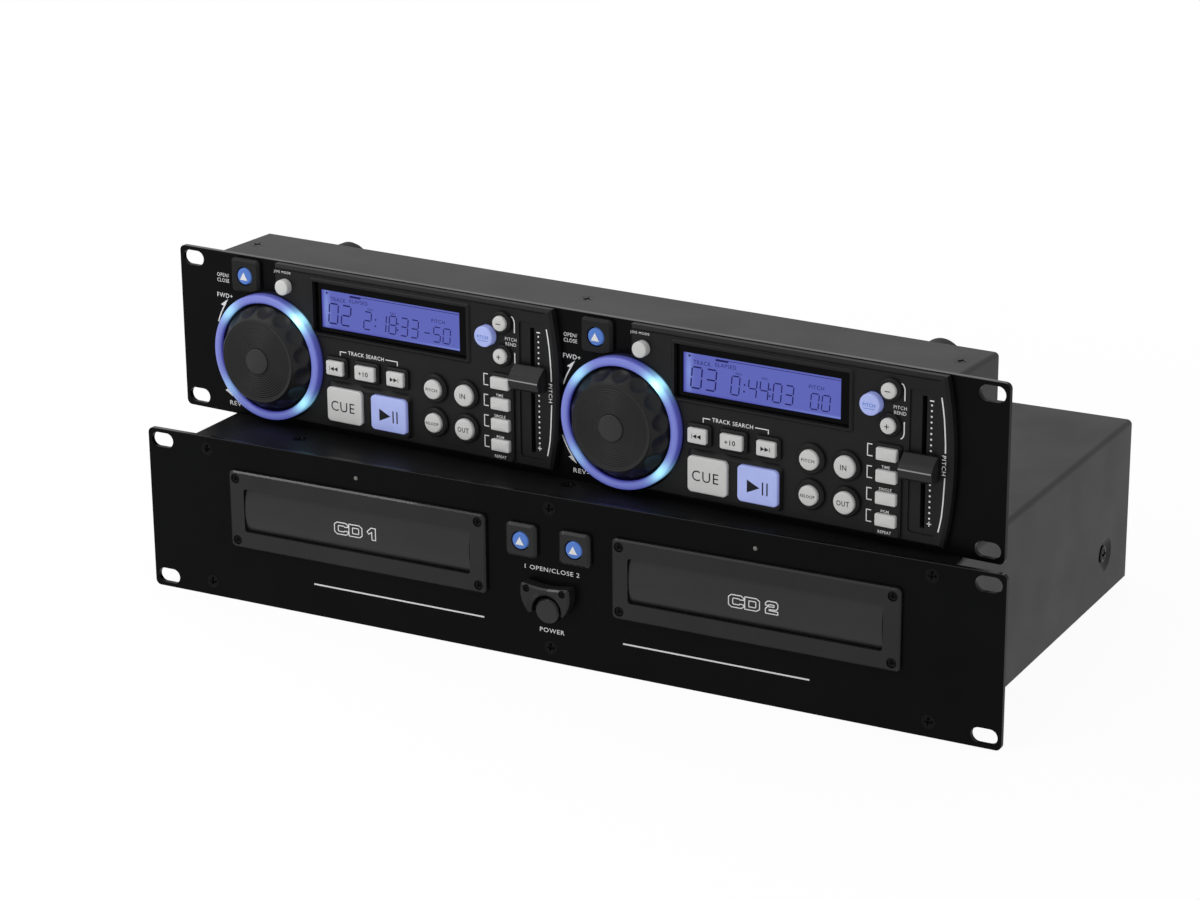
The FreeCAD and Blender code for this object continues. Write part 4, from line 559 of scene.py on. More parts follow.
def dot(u, z, radius, sides=16):
    """One face whose corners stand on a circle."""
    return circle(u, z, radius, full_turn(sides)), [tuple(range(sides))]


def corners(points):
    """One flat face through the given points."""
    return np.array(points, float), [tuple(range(len(points)))]


print("a bar has", len(bar(0, 0, 1, 0, 0.1)[0]), "corners")

# %% [markdown]
# Marks lie a few hundredths of a millimetre in front of the surface that carries them. On a flat
# plate their height is one number. On a crowned key or a bulging door it is a function of the
# place, and there the marks are first divided into small triangles, so that they can bend with it.

# %% Marks on a surface
FLOAT = 0.03
LONGEST_EDGE, MOST_CUTS = 0.9, 5


def divided(flat, faces):
    """The same flat mark with its long edges halved until none is longer than the longest allowed."""
    work = bmesh.new()
    corners_of = [work.verts.new((u, z, 0.0)) for u, z in flat]
    for face in faces:
        work.faces.new([corners_of[k] for k in face])
    for _ in range(MOST_CUTS):
        bmesh.ops.triangulate(work, faces=work.faces)
        long_edges = [edge for edge in work.edges if edge.calc_length() > LONGEST_EDGE]
        if not long_edges:
            break
        bmesh.ops.subdivide_edges(work, edges=long_edges, cuts=1)
    work.verts.index_update()
    points = np.array([vert.co[:2] for vert in work.verts])
    small = [tuple(vert.index for vert in face.verts) for face in work.faces]
    work.free()
    return points, small


def printed(name, marks, place, rise, finish, body):
    """All marks of a group in one mesh that faces outwards; rise is a number or a function of (u, z)."""
    placed = []
    for flat, faces in marks:
        if callable(rise):
            flat, faces = divided(flat, faces)
        height = rise(flat[:, 0], flat[:, 1]) if callable(rise) else rise
        a, b, c = (flat[faces[0][k]] for k in (0, 1, 2))
        clockwise = (b[0] - a[0]) * (c[1] - a[1]) < (b[1] - a[1]) * (c[0] - a[0])
        placed.append((place(flat[:, 0], flat[:, 1], height),
                       [tuple(face)[::-1] for face in faces] if clockwise else faces))
    return add_piece(name, *joined(placed), finish, body, smooth=False)


print("printing stands", FLOAT, "mm in front of its surface")

# %% [markdown]
# ## The keys
# A moulded key has a straight skirt, a rounded shoulder and a face that is slightly crowned. One
# outline, a rounded rectangle, serves round keys too, because a circle is a square whose corners
# are as round as they can be. The rows of the grid are that outline, first climbing the skirt,
# then drawn in round the shoulder, and last shrunk towards the middle of the crowned face. The key
# is printed by the same crown formula, so its sign lies on the face.

# %% Where the keys are
KEY_FOOT, KEY_FACE, KEY_CROWN = 0.6, 9.2, 0.35
ROUND_SHOULDER, BLOCK_SHOULDER, BLOCK_CORNER = 0.9, 0.7, 0.13
ROUND_KEYS = {
    "jog_mode": (11.5, 76.9, 8.2), "pitch_bend": (137.2, 69.7, 10.8), "bend_minus": (146.7, 77.8, 7.8),
    "bend_plus": (146.7, 60.7, 7.8), "pitch": (105.3, 36.8, 10.2), "reloop": (105.3, 18.9, 10.2),
    "loop_in": (124.4, 36.6, 11.2), "loop_out": (124.4, 18.7, 11.2),
}
FUNCTION_Z = dict(zip(("time", "single", "program", "repeat"), np.linspace(46.5, 13.8, 4)))
BLOCK_KEYS = {
    "search_back": (44.1, 38.4, 10.5, 7.7), "plus_ten": (63.1, 38.4, 12.4, 7.7),
    "search_forward": (82.2, 38.4, 10.5, 7.7), "cue": (50.0, 18.9, 22.1, 18.4),
    "play_pause": (77.8, 18.9, 22.1, 18.4), **{key: (146.4, z, 10.9, 6.2) for key, z in FUNCTION_Z.items()},
}
KEYS = {key: (u, z, d, d, d / 2, ROUND_SHOULDER) for key, (u, z, d) in ROUND_KEYS.items()}
KEYS |= {key: (u, z, w, h, BLOCK_CORNER * h, BLOCK_SHOULDER) for key, (u, z, w, h) in BLOCK_KEYS.items()}
print("keys on a deck:", len(KEYS))

# %% Key caps
def rounded_outline(width, height, corner, per_corner=10):
    """Quarter circles of the corner radius round the four corner centres, listed anticlockwise."""
    corner = min(corner, width / 2 - 1e-3, height / 2 - 1e-3)
    quarter = np.linspace(0, np.pi / 2, per_corner)
    return np.concatenate([
        circle(side * (width / 2 - corner), end * (height / 2 - corner), corner, quarter + k * np.pi / 2)
        for k, (side, end) in enumerate(((1, 1), (-1, 1), (-1, -1), (1, -1)))])


def crown(width, height, face, drop):
    """Rise = face less drop times the square of the larger share of half width or half height."""
    def rise(du, dz):
        share = np.maximum(np.abs(du) / (width / 2), np.abs(dz) / (height / 2))
        return face - drop * np.clip(share, 0, 1) ** 2
    return rise


def cap_grid(width, height, corner, foot, face, drop, shoulder):
    """Rows of (du, dz, rise): back, skirt, quarter-round shoulder, crowned face to its middle point."""
    arc = np.linspace(0, np.pi / 2, 7)
    insets = np.concatenate([[0.02, 0.0], shoulder * (1 - np.cos(arc))])
    rises = np.concatenate([[foot, foot + 0.3], face - drop - shoulder + shoulder * np.sin(arc)])
    rows = []
    for inset, rise in zip(insets, rises):
        flat = rounded_outline(width - 2 * inset, height - 2 * inset, max(corner - inset, 0.3))
        rows.append(np.column_stack([flat, np.full(len(flat), rise)]))
    edge = rows[-1][:, :2]
    for share in np.linspace(1, 0, 8)[1:]:
        rows.append(np.column_stack([edge * share, np.full(len(edge), face - drop * share ** 2)]))
    back = np.column_stack([edge * 0, np.full(len(edge), foot)])
    return np.array([back] + rows), crown(2 * edge[:, 0].max(), 2 * edge[:, 1].max(), face, drop)


def key_cap(body, place, u, z, form, finish):
    """A cap in the place of its CAD solid, and the height of its face for the sign."""
    rows, top = cap_grid(*form)
    points = place(u + rows[..., 0], z + rows[..., 1], rows[..., 2])
    cap = add_piece(f"{body}_cap", points, grid_faces(*rows.shape[:2], True), finish, body,
                    closed=True, sharp=55)
    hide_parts(body)
    return cap, lambda a, b: top(a - u, b - z) + FLOAT


key_tops = {}
for deck in DECKS:
    for key, (u, z, width, height, corner, shoulder) in KEYS.items():
        form = (width, height, corner, KEY_FOOT, KEY_FACE, KEY_CROWN, shoulder)
        finish = KEY_LIT if key in ("pitch_bend", "play_pause") else KEY_GREY
        body = f"deck_{deck}_{key}_button"
        cap, key_tops[deck, key] = key_cap(body, deck_frame(deck), u, z, form, finish)
print("key caps:", len(key_tops))

# %% [markdown]
# The eject keys are small blue domes with a white triangle that points up. The same cap serves.
# The other signs are the usual ones: two triangles and a bar for a search, a triangle and two bars
# for play and pause, a plus and a minus for bending the pitch.

# %% Signs on the keys
KEY_WORDS = {
    "plus_ten": ("+10", -0.3, 0.0, 6.0, 2.6, 0.015), "cue": ("CUE", -0.8, -0.4, 14.8, 5.4, 0.0),
    "pitch_bend": ("PITCH", 0.0, 0.0, 6.6, 1.8, 0.02), "pitch": ("PITCH", 0.0, 0.0, 7.0, 1.6, 0.012),
    "reloop": ("RELOOP", 0.0, 0.0, 7.8, 1.5, 0.012), "loop_in": ("IN", 0.0, 0.0, 3.3, 2.6, 0.012),
    "loop_out": ("OUT", 0.0, 0.0, 6.8, 2.6, 0.012),
}
KEY_BARS = {
    "play_pause": [(3.3, -3.9, 3.3, 2.6, 0.75), (5.7, -3.9, 5.7, 2.6, 0.75)],
    "bend_minus": [(-1.4, 0, 1.4, 0, 0.45)],
    "bend_plus": [(-1.2, 0, 1.2, 0, 0.45), (0, -1.2, 0, 1.2, 0.45)],
    "pitch_bend": [(-3.1, -1.8, 3.1, -1.8, 0.3)],
    "search_back": [(-2.5, -1.1, -2.5, 1.1, 0.3)], "search_forward": [(2.5, -1.1, 2.5, 1.1, 0.3)],
}
KEY_TRIANGLES = {
    "play_pause": [(-1.9, -0.6, 7.0, 6.6, 1)],
    "search_back": [(1.4, 0, 2.3, 2.4, -1), (-0.9, 0, 2.3, 2.4, -1)],
    "search_forward": [(-1.4, 0, 2.3, 2.4, 1), (0.9, 0, 2.3, 2.4, 1)],
}


def pointer(u, z, width, height, way):
    """A triangle that points to the right where way is 1, and to the left where it is -1."""
    back = u - way * width / 2
    return corners([(back, z - height / 2), (u + way * width / 2, z), (back, z + height / 2)])


def signs_for(key, u, z):
    """The marks of one key, laid out round its middle."""
    marks = [pointer(u + du, z + dz, *form) for du, dz, *form in KEY_TRIANGLES.get(key, ())]
    if key in KEY_WORDS:
        text, du, dz, width, height, bold = KEY_WORDS[key]
        marks.append(set_word(text, u + du, z + dz, width, height, bold=bold))
    return marks + [bar(u + a, z + b, u + c, z + d, width) for a, b, c, d, width in KEY_BARS.get(key, ())]


for deck in DECKS:
    for key, (u, z, *_) in KEYS.items():
        marks = signs_for(key, u, z)
        if marks:
            finish = DARK_INK if key != "pitch_bend" else KEY_BLUE
            printed(f"deck_{deck}_{key}_sign", marks, deck_frame(deck), key_tops[deck, key], finish,
                    f"deck_{deck}_{key}_button")

# %% Eject keys
EJECT_FORM = (8.9, 8.9, 4.45, 0.4, 3.7, 0.4, 0.8)
EJECT_W, EJECT_H = 4.8, 4.2
EJECT_KEYS = [("player_eject_button_1", player_frame, -15.1, 63.3),
              ("player_eject_button_2", player_frame, 15.1, 63.3),
              ("deck_1_eject_button", deck_frame(1), -16.6, 77.8),
              ("deck_2_eject_button", deck_frame(2), -16.6, 77.8)]
for body, place, u, z in EJECT_KEYS:
    cap, top = key_cap(body, place, u, z, EJECT_FORM, KEY_BLUE)
    foot = z + 0.1 - EJECT_H / 2
    upward = corners([(u - EJECT_W / 2, foot), (u + EJECT_W / 2, foot), (u, foot + EJECT_H)])
    printed(f"{body}_sign", [upward], place, top, INK, body)
print("eject keys:", len(EJECT_KEYS))

# %% [markdown]
# ## The displays
# Behind each window lies a liquid-crystal panel that is lit from its left end. The light is
# periwinkle, with a brighter streak at the left and a thin bright line along the lower edge. The
# figures are dark outlines, because the backlight is stronger than the segments. A figure is a set
# of seven strokes, and a stroke is left out where that figure doesn't use it.

# %% Backlight
LCD_U, LCD_Z, LCD_W, LCD_H, LCD_RISE = 76.4, 68.0, 86.0, 20.1, 2.86
LCD_COLS, LCD_ROWS, LCD_POWER = 96, 40, 0.93
LCD_BODY, LCD_PALE, LCD_VIOLET = (np.array(colour) for colour in (
    (0.095, 0.115, 0.45), (0.26, 0.36, 0.80), (0.03, 0.02, 0.30)))


def backlight(deck):
    """A flat grid; a bell-shaped streak at the left and line below are paler, two rims are violet."""
    across, up = np.meshgrid(np.linspace(0, 1, LCD_COLS), np.linspace(0, 1, LCD_ROWS))
    points = deck_frame(deck)(LCD_U + (across - 0.5) * LCD_W, LCD_Z + (up - 0.5) * LCD_H, LCD_RISE)
    streak = np.exp(-((across - 0.035) / 0.022) ** 2) * np.clip(1 - np.abs(up - 0.55) * 1.1, 0, 1)
    line = np.exp(-((up - 0.03) / 0.018) ** 2) * np.clip((across - 0.45) * 2, 0, 1)
    shade = np.clip(1 - across / 0.02, 0, 1) + 0.6 * np.clip(1 - up / 0.06, 0, 1)
    colour = LCD_BODY + (LCD_PALE - LCD_BODY) * np.clip(0.65 * streak + 0.9 * line, 0, 1)[..., None]
    colour = colour + (LCD_VIOLET - colour) * np.clip(shade, 0, 1)[..., None] * 0.7
    return points, colour, np.full(across.shape, LCD_POWER)


for deck in DECKS:
    points, colour, power = backlight(deck)
    panel = add_piece(f"display_{deck}_backlight", points, grid_faces(LCD_ROWS, LCD_COLS, False), LCD_LIGHT,
                      "controller", smooth=False)
    store_glow(panel, colour, power)
print("display panels:", [round(v, 1) for v in (LCD_W, LCD_H)], "mm")

# %% Figures and captions
STROKES = {"0": "abcdef", "1": "bc", "2": "abged", "3": "abgcd", "4": "fgbc", "5": "afgcd",
           "8": "abcdefg", "-": "g"}
TOP_L, TOP_R, MID_L, MID_R, LOW_L, LOW_R = (0, 1), (1, 1), (0, 0.5), (1, 0.5), (0, 0), (1, 0)
ENDS = {"a": (TOP_L, TOP_R), "b": (TOP_R, MID_R), "c": (MID_R, LOW_R), "d": (LOW_L, LOW_R),
        "e": (MID_L, LOW_L), "f": (TOP_L, MID_L), "g": (MID_L, MID_R)}
SLANT = 0.09
FIGURES_Z, BEND_Z, BEND_U, BEND_STEP = 60.7, 60.6, 102.9, 6.0
CAPTIONS = [("TRACK", 43.8, 73.8, 9.6, 2.1), ("ELAPSED", 56.9, 74.3, 11.4, 2.0),
            ("PITCH", 106.2, 71.5, 8.2, 1.9), ("MIN", 64.1, 71.5, 3.4, 1.1), ("SEC", 78.4, 71.5, 3.6, 1.1)]


def figure(sign, u, z, width, height, line, gap):
    """Strokes a to g between the six corners of a leaning box, each shortened by a gap at both ends."""
    marks = []
    for stroke in STROKES[sign]:
        a, b = (np.array([u + right * width + SLANT * up * height, z + up * height])
                for right, up in ENDS[stroke])
        step = (b - a) / np.linalg.norm(b - a) * gap
        marks.append(ribbon([a + step, b - step], line))
    return marks


def reading(track, clock, bend):
    """All marks of one display: track number, running time, pitch bend and their captions."""
    marks = []
    for sign, u in zip(track, (37.4, 45.4)):
        marks += figure(sign, u, FIGURES_Z, 5.6, 10.6, 0.8, 0.5)
    for sign, u in zip(clock.replace(":", ""), (59.6, 69.0, 75.3, 82.5, 88.9)):
        marks += figure(sign, u, FIGURES_Z, 4.4, 9.4, 0.66, 0.42)
    for u in (67.0, 81.0):
        marks += [dot(u, 63.2, 0.5), dot(u + 0.3, 66.6, 0.5)]
    for k, sign in enumerate(bend):
        marks += figure(sign, BEND_U + BEND_STEP * (k + 2 - len(bend)), BEND_Z, 4.2, 7.8, 0.6, 0.4)
    marks += [set_word(*spot) for spot in CAPTIONS]
    marks += [bar(51.2, 77.0, LCD_U + LCD_W / 2 - 0.4, 77.0, 0.3), bar(51.2, 76.5, 58.2, 76.5, 0.9)]
    return marks + [corners([(36.2, 77.4), (36.2, 75.8), (37.8, 76.6)])]


LCD_INK = grained("display_segments", (0.016, 0.015, 0.14), 0.5, 0.6, 0.003, specular=0.1, spread=0.06)
READINGS = {1: ("02", "2:18:33", "-50"), 2: ("03", "0:44:03", "00")}
for deck, texts in READINGS.items():
    printed(f"display_{deck}_figures", reading(*texts), deck_frame(deck), LCD_RISE + 0.02, LCD_INK,
            "controller")
print("readings:", READINGS)

# %% [markdown]
# ## Printing on the fascias and panels
# Thin brackets tie a word to the keys it names, dots mark the way of the pitch fader, and long slim
# arcs follow the bowed right edge of each fascia. All of it is laid out as tables of places and
# sizes, in the deck's own frame, so both decks are printed from the same lines.

# %% Fascia printing
FASCIA_RISE, KEY_PLATE_RISE, FADER_PLATE_RISE = 5.0, 7.0, 4.2
FADER_DOTS, FADER_MIDDLE, FADER_MARKS_U = 21, 10, 167.4
FASCIA_WORDS = [
    ("JOG MODE", 10.0, 84.2, 10.8, 1.6), ("TRACK SEARCH", 62.0, 46.9, 22.6, 2.1, 0.0, 0.01),
    ("PITCH", 151.5, 69.6, 6.8, 1.7), ("BEND", 151.5, 67.0, 6.4, 1.7),
    ("PITCH", 174.7, 45.2, 9.8, 2.1, -90, 0.005),
]
FASCIA_BARS = [(46.0, 46.9, 49.6, 46.9, 0.5), (45.7, 47.15, 45.7, 44.7, 0.5),
               (74.4, 46.9, 81.4, 46.9, 0.5), (81.7, 47.15, 81.7, 44.7, 0.5)]
FASCIA_RIBBONS = [
    ([(152.0, 81.5), (152.9, 81.0), (153.6, 79.6), (153.8, 78.4), (153.8, 73.2)], 0.6),
    ([(153.8, 63.0), (153.8, 57.4), (153.5, 56.0), (152.8, 54.9), (152.0, 54.5)], 0.6),
    ([(172.7, 78.0), (173.6, 73.0), (174.3, 68.0), (174.8, 62.0), (175.2, 56.0), (175.3, 51.3)], 0.65),
    ([(175.3, 39.2), (175.0, 33.0), (174.7, 27.0), (174.1, 20.0), (173.3, 15.5), (172.5, 12.0)], 0.65),
]
KEY_PLATE_WORDS = [(text, 145.6, z, width, 1.45, 0.0, 0.005) for text, z, width in (
    ("TIME", 39.9, 4.3), ("SINGLE", 28.9, 6.6), ("PGM", 17.9, 4.2), ("REPEAT", 7.6, 6.9))]


def bracket(z):
    """An upright line left of a function key, with a short arm above and below."""
    return [bar(134.9, z - 2.9, 134.9, z + 2.9, 0.5), bar(134.65, z + 2.9, 137.4, z + 2.9, 0.5),
            bar(134.65, z - 2.9, 137.6, z - 2.9, 0.5)]


def fader_marks():
    """Minus, dots with a small ring in their middle, and plus, beside the fader's slot."""
    heights = np.linspace(73.2, 17.6, FADER_DOTS)
    ring_path = circle(FADER_MARKS_U, heights[FADER_MIDDLE], 0.75, np.radians(np.linspace(0, 360, 24)))
    marks = [bar(166.3, 75.3, 168.5, 75.3, 0.6), bar(166.2, 14.9, 168.6, 14.9, 0.45),
             bar(FADER_MARKS_U, 13.7, FADER_MARKS_U, 16.1, 0.45), ribbon(ring_path, 0.35)]
    return marks + [dot(FADER_MARKS_U, z, 0.5) for z in np.delete(heights, FADER_MIDDLE)]


fascia_marks = [set_word(*spot) for spot in FASCIA_WORDS] + [bar(*ends) for ends in FASCIA_BARS]
fascia_marks += [ribbon(*line) for line in FASCIA_RIBBONS]
fascia_marks += [mark for z in FUNCTION_Z.values() for mark in bracket(z)]
key_plate_marks = [set_word(*spot) for spot in KEY_PLATE_WORDS]
for deck in DECKS:
    for part, marks, rise in (("fascia", fascia_marks, FASCIA_RISE),
                              ("key_plate", key_plate_marks, KEY_PLATE_RISE),
                              ("fader", fader_marks(), FADER_PLATE_RISE)):
        printed(f"deck_{deck}_{part}_printing", marks, deck_frame(deck), rise + FLOAT, INK, "controller")
print("fader dots:", FADER_DOTS)

# %% [markdown]
# Beside each light ring two arrows show which way the wheel winds. An arrow is an arc of a circle
# round the wheel's axis with a slim barb at its end. The panels behind carry few words and lines.

# %% Panel printing
ARROWS = ((162.0, 147.0, 39.4), (200.8, 217.0, 41.0))
DECK_PANEL_WORDS = [
    ("OPEN/", -33.1, 75.6, 7.8, 2.0), ("CLOSE", -33.1, 72.7, 7.8, 2.0),
    ("FWD+", -32.4, 64.5, 10.2, 2.4, 0.0, 0.005), ("REV-", -27.6, 5.4, 9.0, 2.4, 0.0, 0.005),
]


def arrow(start, end, radius):
    """An arc between two angles in degrees, and a barb whose corners are set from the arc's last step."""
    path = circle(0, JOG_Z, radius, np.radians(np.linspace(start, end, 24)))
    tip = path[-1]
    way = (tip - path[-2]) / np.linalg.norm(tip - path[-2])
    side = np.array([-way[1], way[0]]) * (1 if end < start else -1)
    return [ribbon(path, 0.75), corners([tip + way * 4.6, tip + side * 2.2 - way * 0.8,
                                         tip - side * 0.4 - way * 0.2])]


for deck in DECKS:
    marks = [set_word(*spot) for spot in DECK_PANEL_WORDS]
    marks += [mark for spot in ARROWS for mark in arrow(*spot)]
    printed(f"deck_{deck}_panel_printing", marks, deck_frame(deck), FLOAT, INK, "controller")

player_marks = [set_word("1 OPEN/CLOSE 2", 1.2, 49.2, 31.0, 2.3),
                set_word("POWER", 0.9, 16.9, 14.0, 2.4, bold=0.005),
                bar(-140.4, 17.4, -38.4, 17.4, 0.8), bar(41.0, 17.4, 142.2, 17.4, 0.8)]
printed("player_panel_printing", player_marks, player_frame, FLOAT, INK, "player")
print("arrows on a deck:", len(ARROWS))

# %% [markdown]
# Each tray door carries its number in outlined block letters. An outline is not in the plain font,
# so each sign is a list of corners in a box one unit wide and high, and a thin ribbon follows it.
# The door bulges, and the marks follow the bulge by its formula.

# %% Door marks
DOOR_RISE, DOOR_BULGE, DOOR_Z, DOOR_HALF = 2.1, 1.7, 52.0, 11.35
OUTLINE_W, GLYPH_Z, GLYPH_H = 0.5, 48.6, 6.4
GLYPHS = {
    "C": [[(1, 0.7), (1, 0.84), (0.84, 1), (0.18, 1), (0, 0.82), (0, 0.18), (0.18, 0), (0.84, 0), (1, 0.16),
           (1, 0.32), (0.74, 0.34), (0.7, 0.26), (0.32, 0.26), (0.28, 0.3), (0.28, 0.7), (0.32, 0.74),
           (0.7, 0.74), (0.74, 0.68)]],
    "D": [[(0, 0), (0, 1), (0.8, 1), (1, 0.82), (1, 0.18), (0.8, 0)],
          [(0.28, 0.26), (0.28, 0.74), (0.7, 0.74), (0.75, 0.7), (0.75, 0.3), (0.7, 0.26)]],
    "1": [[(0.56, 0), (0.56, 0.66), (0.2, 0.46), (0, 0.66), (0.46, 1), (1, 1), (1, 0)]],
    "2": [[(0, 0), (0, 0.38), (0.16, 0.56), (0.7, 0.58), (0.7, 0.74), (0.3, 0.74), (0.28, 0.66), (0, 0.66),
           (0, 0.82), (0.18, 1), (0.84, 1), (1, 0.84), (1, 0.52), (0.86, 0.36), (0.3, 0.34), (0.3, 0.26),
           (1, 0.24), (1, 0)]],
}


def door_face(u, z):
    """Rise = the door's middle less the bulge times the square of the share of its half height."""
    return DOOR_RISE - DOOR_BULGE * ((z - DOOR_Z) / DOOR_HALF) ** 2 + FLOAT


def glyph_outline(sign, u, width):
    """A bar along each side of the closed outlines and a dot on each corner, from the left edge u."""
    loops = [np.array(loop + loop[:1], float) * (width, GLYPH_H) + (u, GLYPH_Z) for loop in GLYPHS[sign]]
    return [bar(*a, *b, OUTLINE_W) for loop in loops for a, b in zip(loop[:-1], loop[1:])] + [
        dot(*corner, OUTLINE_W / 2, 8) for loop in loops for corner in loop[:-1]]


for k, middle, number_w in ((1, -112.9, 5.0), (2, 112.2, 6.6)):
    marks = [mark for sign, du, width in (("C", -12.4, 8.2), ("D", -3.7, 7.9), (str(k), 7.3, number_w))
             for mark in glyph_outline(sign, middle + du, width)]
    printed(f"door_{k}_mark", marks, player_frame, door_face, INK, f"disc_tray_{k}")
print("block letters:", ", ".join(GLYPHS))

# %% [markdown]
# ## Screws and lamps
# Every screw here has a cross-shaped recess. A screw head is a surface over a disc: its rise is the
# head's own form less a cross. The cross is two crossed slots whose floor climbs from the middle to
# the tips, and a point lies in it when it is nearer to one of the arms than half the arm's width.

# %% Screw heads
ARM, ARM_REACH, RECESS, EDGE_DROP = 0.13, 0.62, 0.42, 0.12


def screw_head(place, radius, rise, dome, skirt):
    """Rise = top + dome (1 - (r/R)^2), less the cross's depth where |x| or |z| is within the arm."""
    shares = np.concatenate([np.linspace(0, 0.72, 15), [0.8, 0.9, 0.97, 1.0]])[:, None]
    turn = full_turn(64)
    x, z = polar(shares * radius, turn)
    top = rise + dome * (1 - shares ** 2) - EDGE_DROP * radius * (shares > 0.98)
    near = np.minimum(np.abs(x), np.abs(z))
    far = np.maximum(np.abs(x), np.abs(z))
    depth = RECESS * radius * np.clip(1 - far / (ARM_REACH * radius), 0, 1) ** 0.6
    cross = depth * np.clip((ARM * 1.3 * radius - near) / (ARM * 0.5 * radius), 0, 1)
    rim = np.stack([*polar(radius, turn), np.full(len(turn), rise - skirt)], axis=-1)[None]
    grid = np.concatenate([np.stack([x, z, top - cross], axis=-1), rim, rim * np.array([0, 0, 1])])
    points = place(grid[..., 0], grid[..., 1], grid[..., 2])
    return points.reshape(-1, 3), grid_faces(*grid.shape[:2], True)[:, ::-1]


def around(place, u, z):
    """The same map with its origin moved to (u, z)."""
    return lambda du, dz, rise: place(u + du, z + dz, rise)


def screws(name, places, form, body):
    """One mesh of equal screws; form is (radius, rise, dome, skirt)."""
    points, faces = joined([screw_head(place, *form) for place in places])
    add_piece(name, points, faces, SCREW, body, closed=True, sharp=35)
    print(name, len(places), "screws")


DRIVE_X, DRIVE_Z = 112.8, 52.0
PANEL_SCREW, BEZEL_SCREW = (3.9, 0.0, 0.12, 1.2), (2.35, 1.9, 0.35, 0.7)
GUARD_SCREW = (1.75, 5.95, 0.4, 1.2)
screws("player_panel_screws", [around(player_frame, x, z) for x in (-204.3, 0, 204.3) for z in (7.8, 81.7)],
       PANEL_SCREW, "player")
screws("bezel_screws", [around(player_frame, side * DRIVE_X + u, DRIVE_Z + v)
                        for side in (-1, 1) for u in (-72.8, 72.8) for v in (-16.9, 16.9)],
       BEZEL_SCREW, "player")
screws("guard_screws", [around(player_frame, u, 40.1) for u in (-10.1, 10.1)], GUARD_SCREW, "player")

# %% [markdown]
# The covers' screws need maps of their own: on a cover or on the case a head's rise is up, and in a
# side dimple it is outwards.

# %% Screws of the covers
TOP_SCREW, SIDE_SCREW = (3.7, -0.05, 0.05, 0.9), (4.6, 0.9, 0.55, 0.95)
SIDE_X, SIDE_Y, SIDE_Z, DIMPLE = 214.8, 211.0, 24.0, 1.7


def on_cover(x, y):
    """A screw lying in the player's cover."""
    return lambda du, dz, rise: on_player(x + du, y + dz, COVER_TOP + rise)


def on_case(x, y):
    """A screw lying in the controller's case."""
    return lambda du, dz, rise: on_controller(x + du, y + dz, PANEL_H + rise)


def on_side(side):
    """A screw in the dimple of one side of the cover."""
    return lambda du, dz, rise: on_player(side * (SIDE_X - DIMPLE + rise), SIDE_Y - side * du, SIDE_Z + dz)


screws("cover_screws", [on_cover(x, 19.9) for x in (-159.4, 0, 159.4)], TOP_SCREW, "player")
screws("case_screws", [on_case(x, 21.0) for x in (-206, 0, 206)], TOP_SCREW, "controller")
screws("side_screws", [on_side(side) for side in (-1, 1)], SIDE_SCREW, "player")

# %% [markdown]
# What is left is small and turned: a clear lamp above each drive, and at the rear the nickel sleeve
# and the coloured ring of each phono jack. A line is printed across each fader's knob.

# %% Tray lamps, fader lines and rear sleeves
LAMP_Z, REAR_WALL, JACK_Z = 79.8, 245.0, 20.0
FADER_U, FADER_Z, KNOB_RISE = 163.8, {1: 52.0, 2: 43.2}, 13.7
LAMP_PROFILE = [(0, 0.45), (0.6, 0.38), (1.0, 0.15), (1.18, -0.2), (1.18, -1.8), (0, -1.8)]
SLEEVE_PROFILE = [(1.55, 8.97), (3.9, 8.97), (4.22, 8.6), (4.22, 1.5), (1.55, 1.5), (1.55, 8.97)]
RING_PROFILE = [(4.25, 1.46), (4.25, 3.3), (5.0, 3.3), (5.5, 2.9), (5.5, 1.46), (4.25, 1.46)]
SLEEVE = grained("nickel_sleeve", (0.52, 0.51, 0.48), 0.28, 0.8, 0.006, metallic=1.0, spread=0.06)
WHITE_RING = grained("left_channel_ring", (0.6, 0.6, 0.58), 0.4, 0.4, 0.01, spread=0.04)
RED_RING = grained("right_channel_ring", (0.45, 0.02, 0.02), 0.4, 0.4, 0.01, spread=0.06)


def turned(name, places, profile, finish, columns=48):
    """Equal turned pieces in one mesh: a profile of (radius, rise) carried round each place's axis."""
    profile = np.array(profile, float)
    across, up = polar(profile[:, :1], full_turn(columns))
    faces = grid_faces(*across.shape, True)[:, ::-1]
    pieces = [(place(across, up, profile[:, 1:]).reshape(-1, 3), faces) for place in places]
    add_piece(name, *joined(pieces), finish, "player", closed=True)


def behind(x):
    """A map for what sticks out of the player's rear wall: its rise is to the rear."""
    return lambda du, dz, rise: on_player(x - du, REAR_WALL + rise, JACK_Z + dz)


turned("tray_lamps", [around(player_frame, x, LAMP_Z) for x in (-DRIVE_X, DRIVE_X)], LAMP_PROFILE, LAMP, 24)
for deck in DECKS:
    u, z = FADER_U, FADER_Z[deck] - 0.4
    printed(f"deck_{deck}_fader_line", [bar(u - 8.6, z, u + 8.6, z, 0.7)], deck_frame(deck),
            KNOB_RISE + FLOAT, GREY_INK, f"deck_{deck}_pitch_fader")
jacks = [behind(x + step) for x in (-176.0, -118.0, -60.0) for step in (0, 14.0)]
turned("jack_sleeves", jacks, SLEEVE_PROFILE, SLEEVE)
turned("jack_rings_left", jacks[0::2], RING_PROFILE, WHITE_RING)
turned("jack_rings_right", jacks[1::2], RING_PROFILE, RED_RING)
print("rear jacks:", len(jacks))

# %% [markdown]
# ## Finishing the CAD solids
# Most solids keep their CAD shape and only get their finish, each by its node's name.

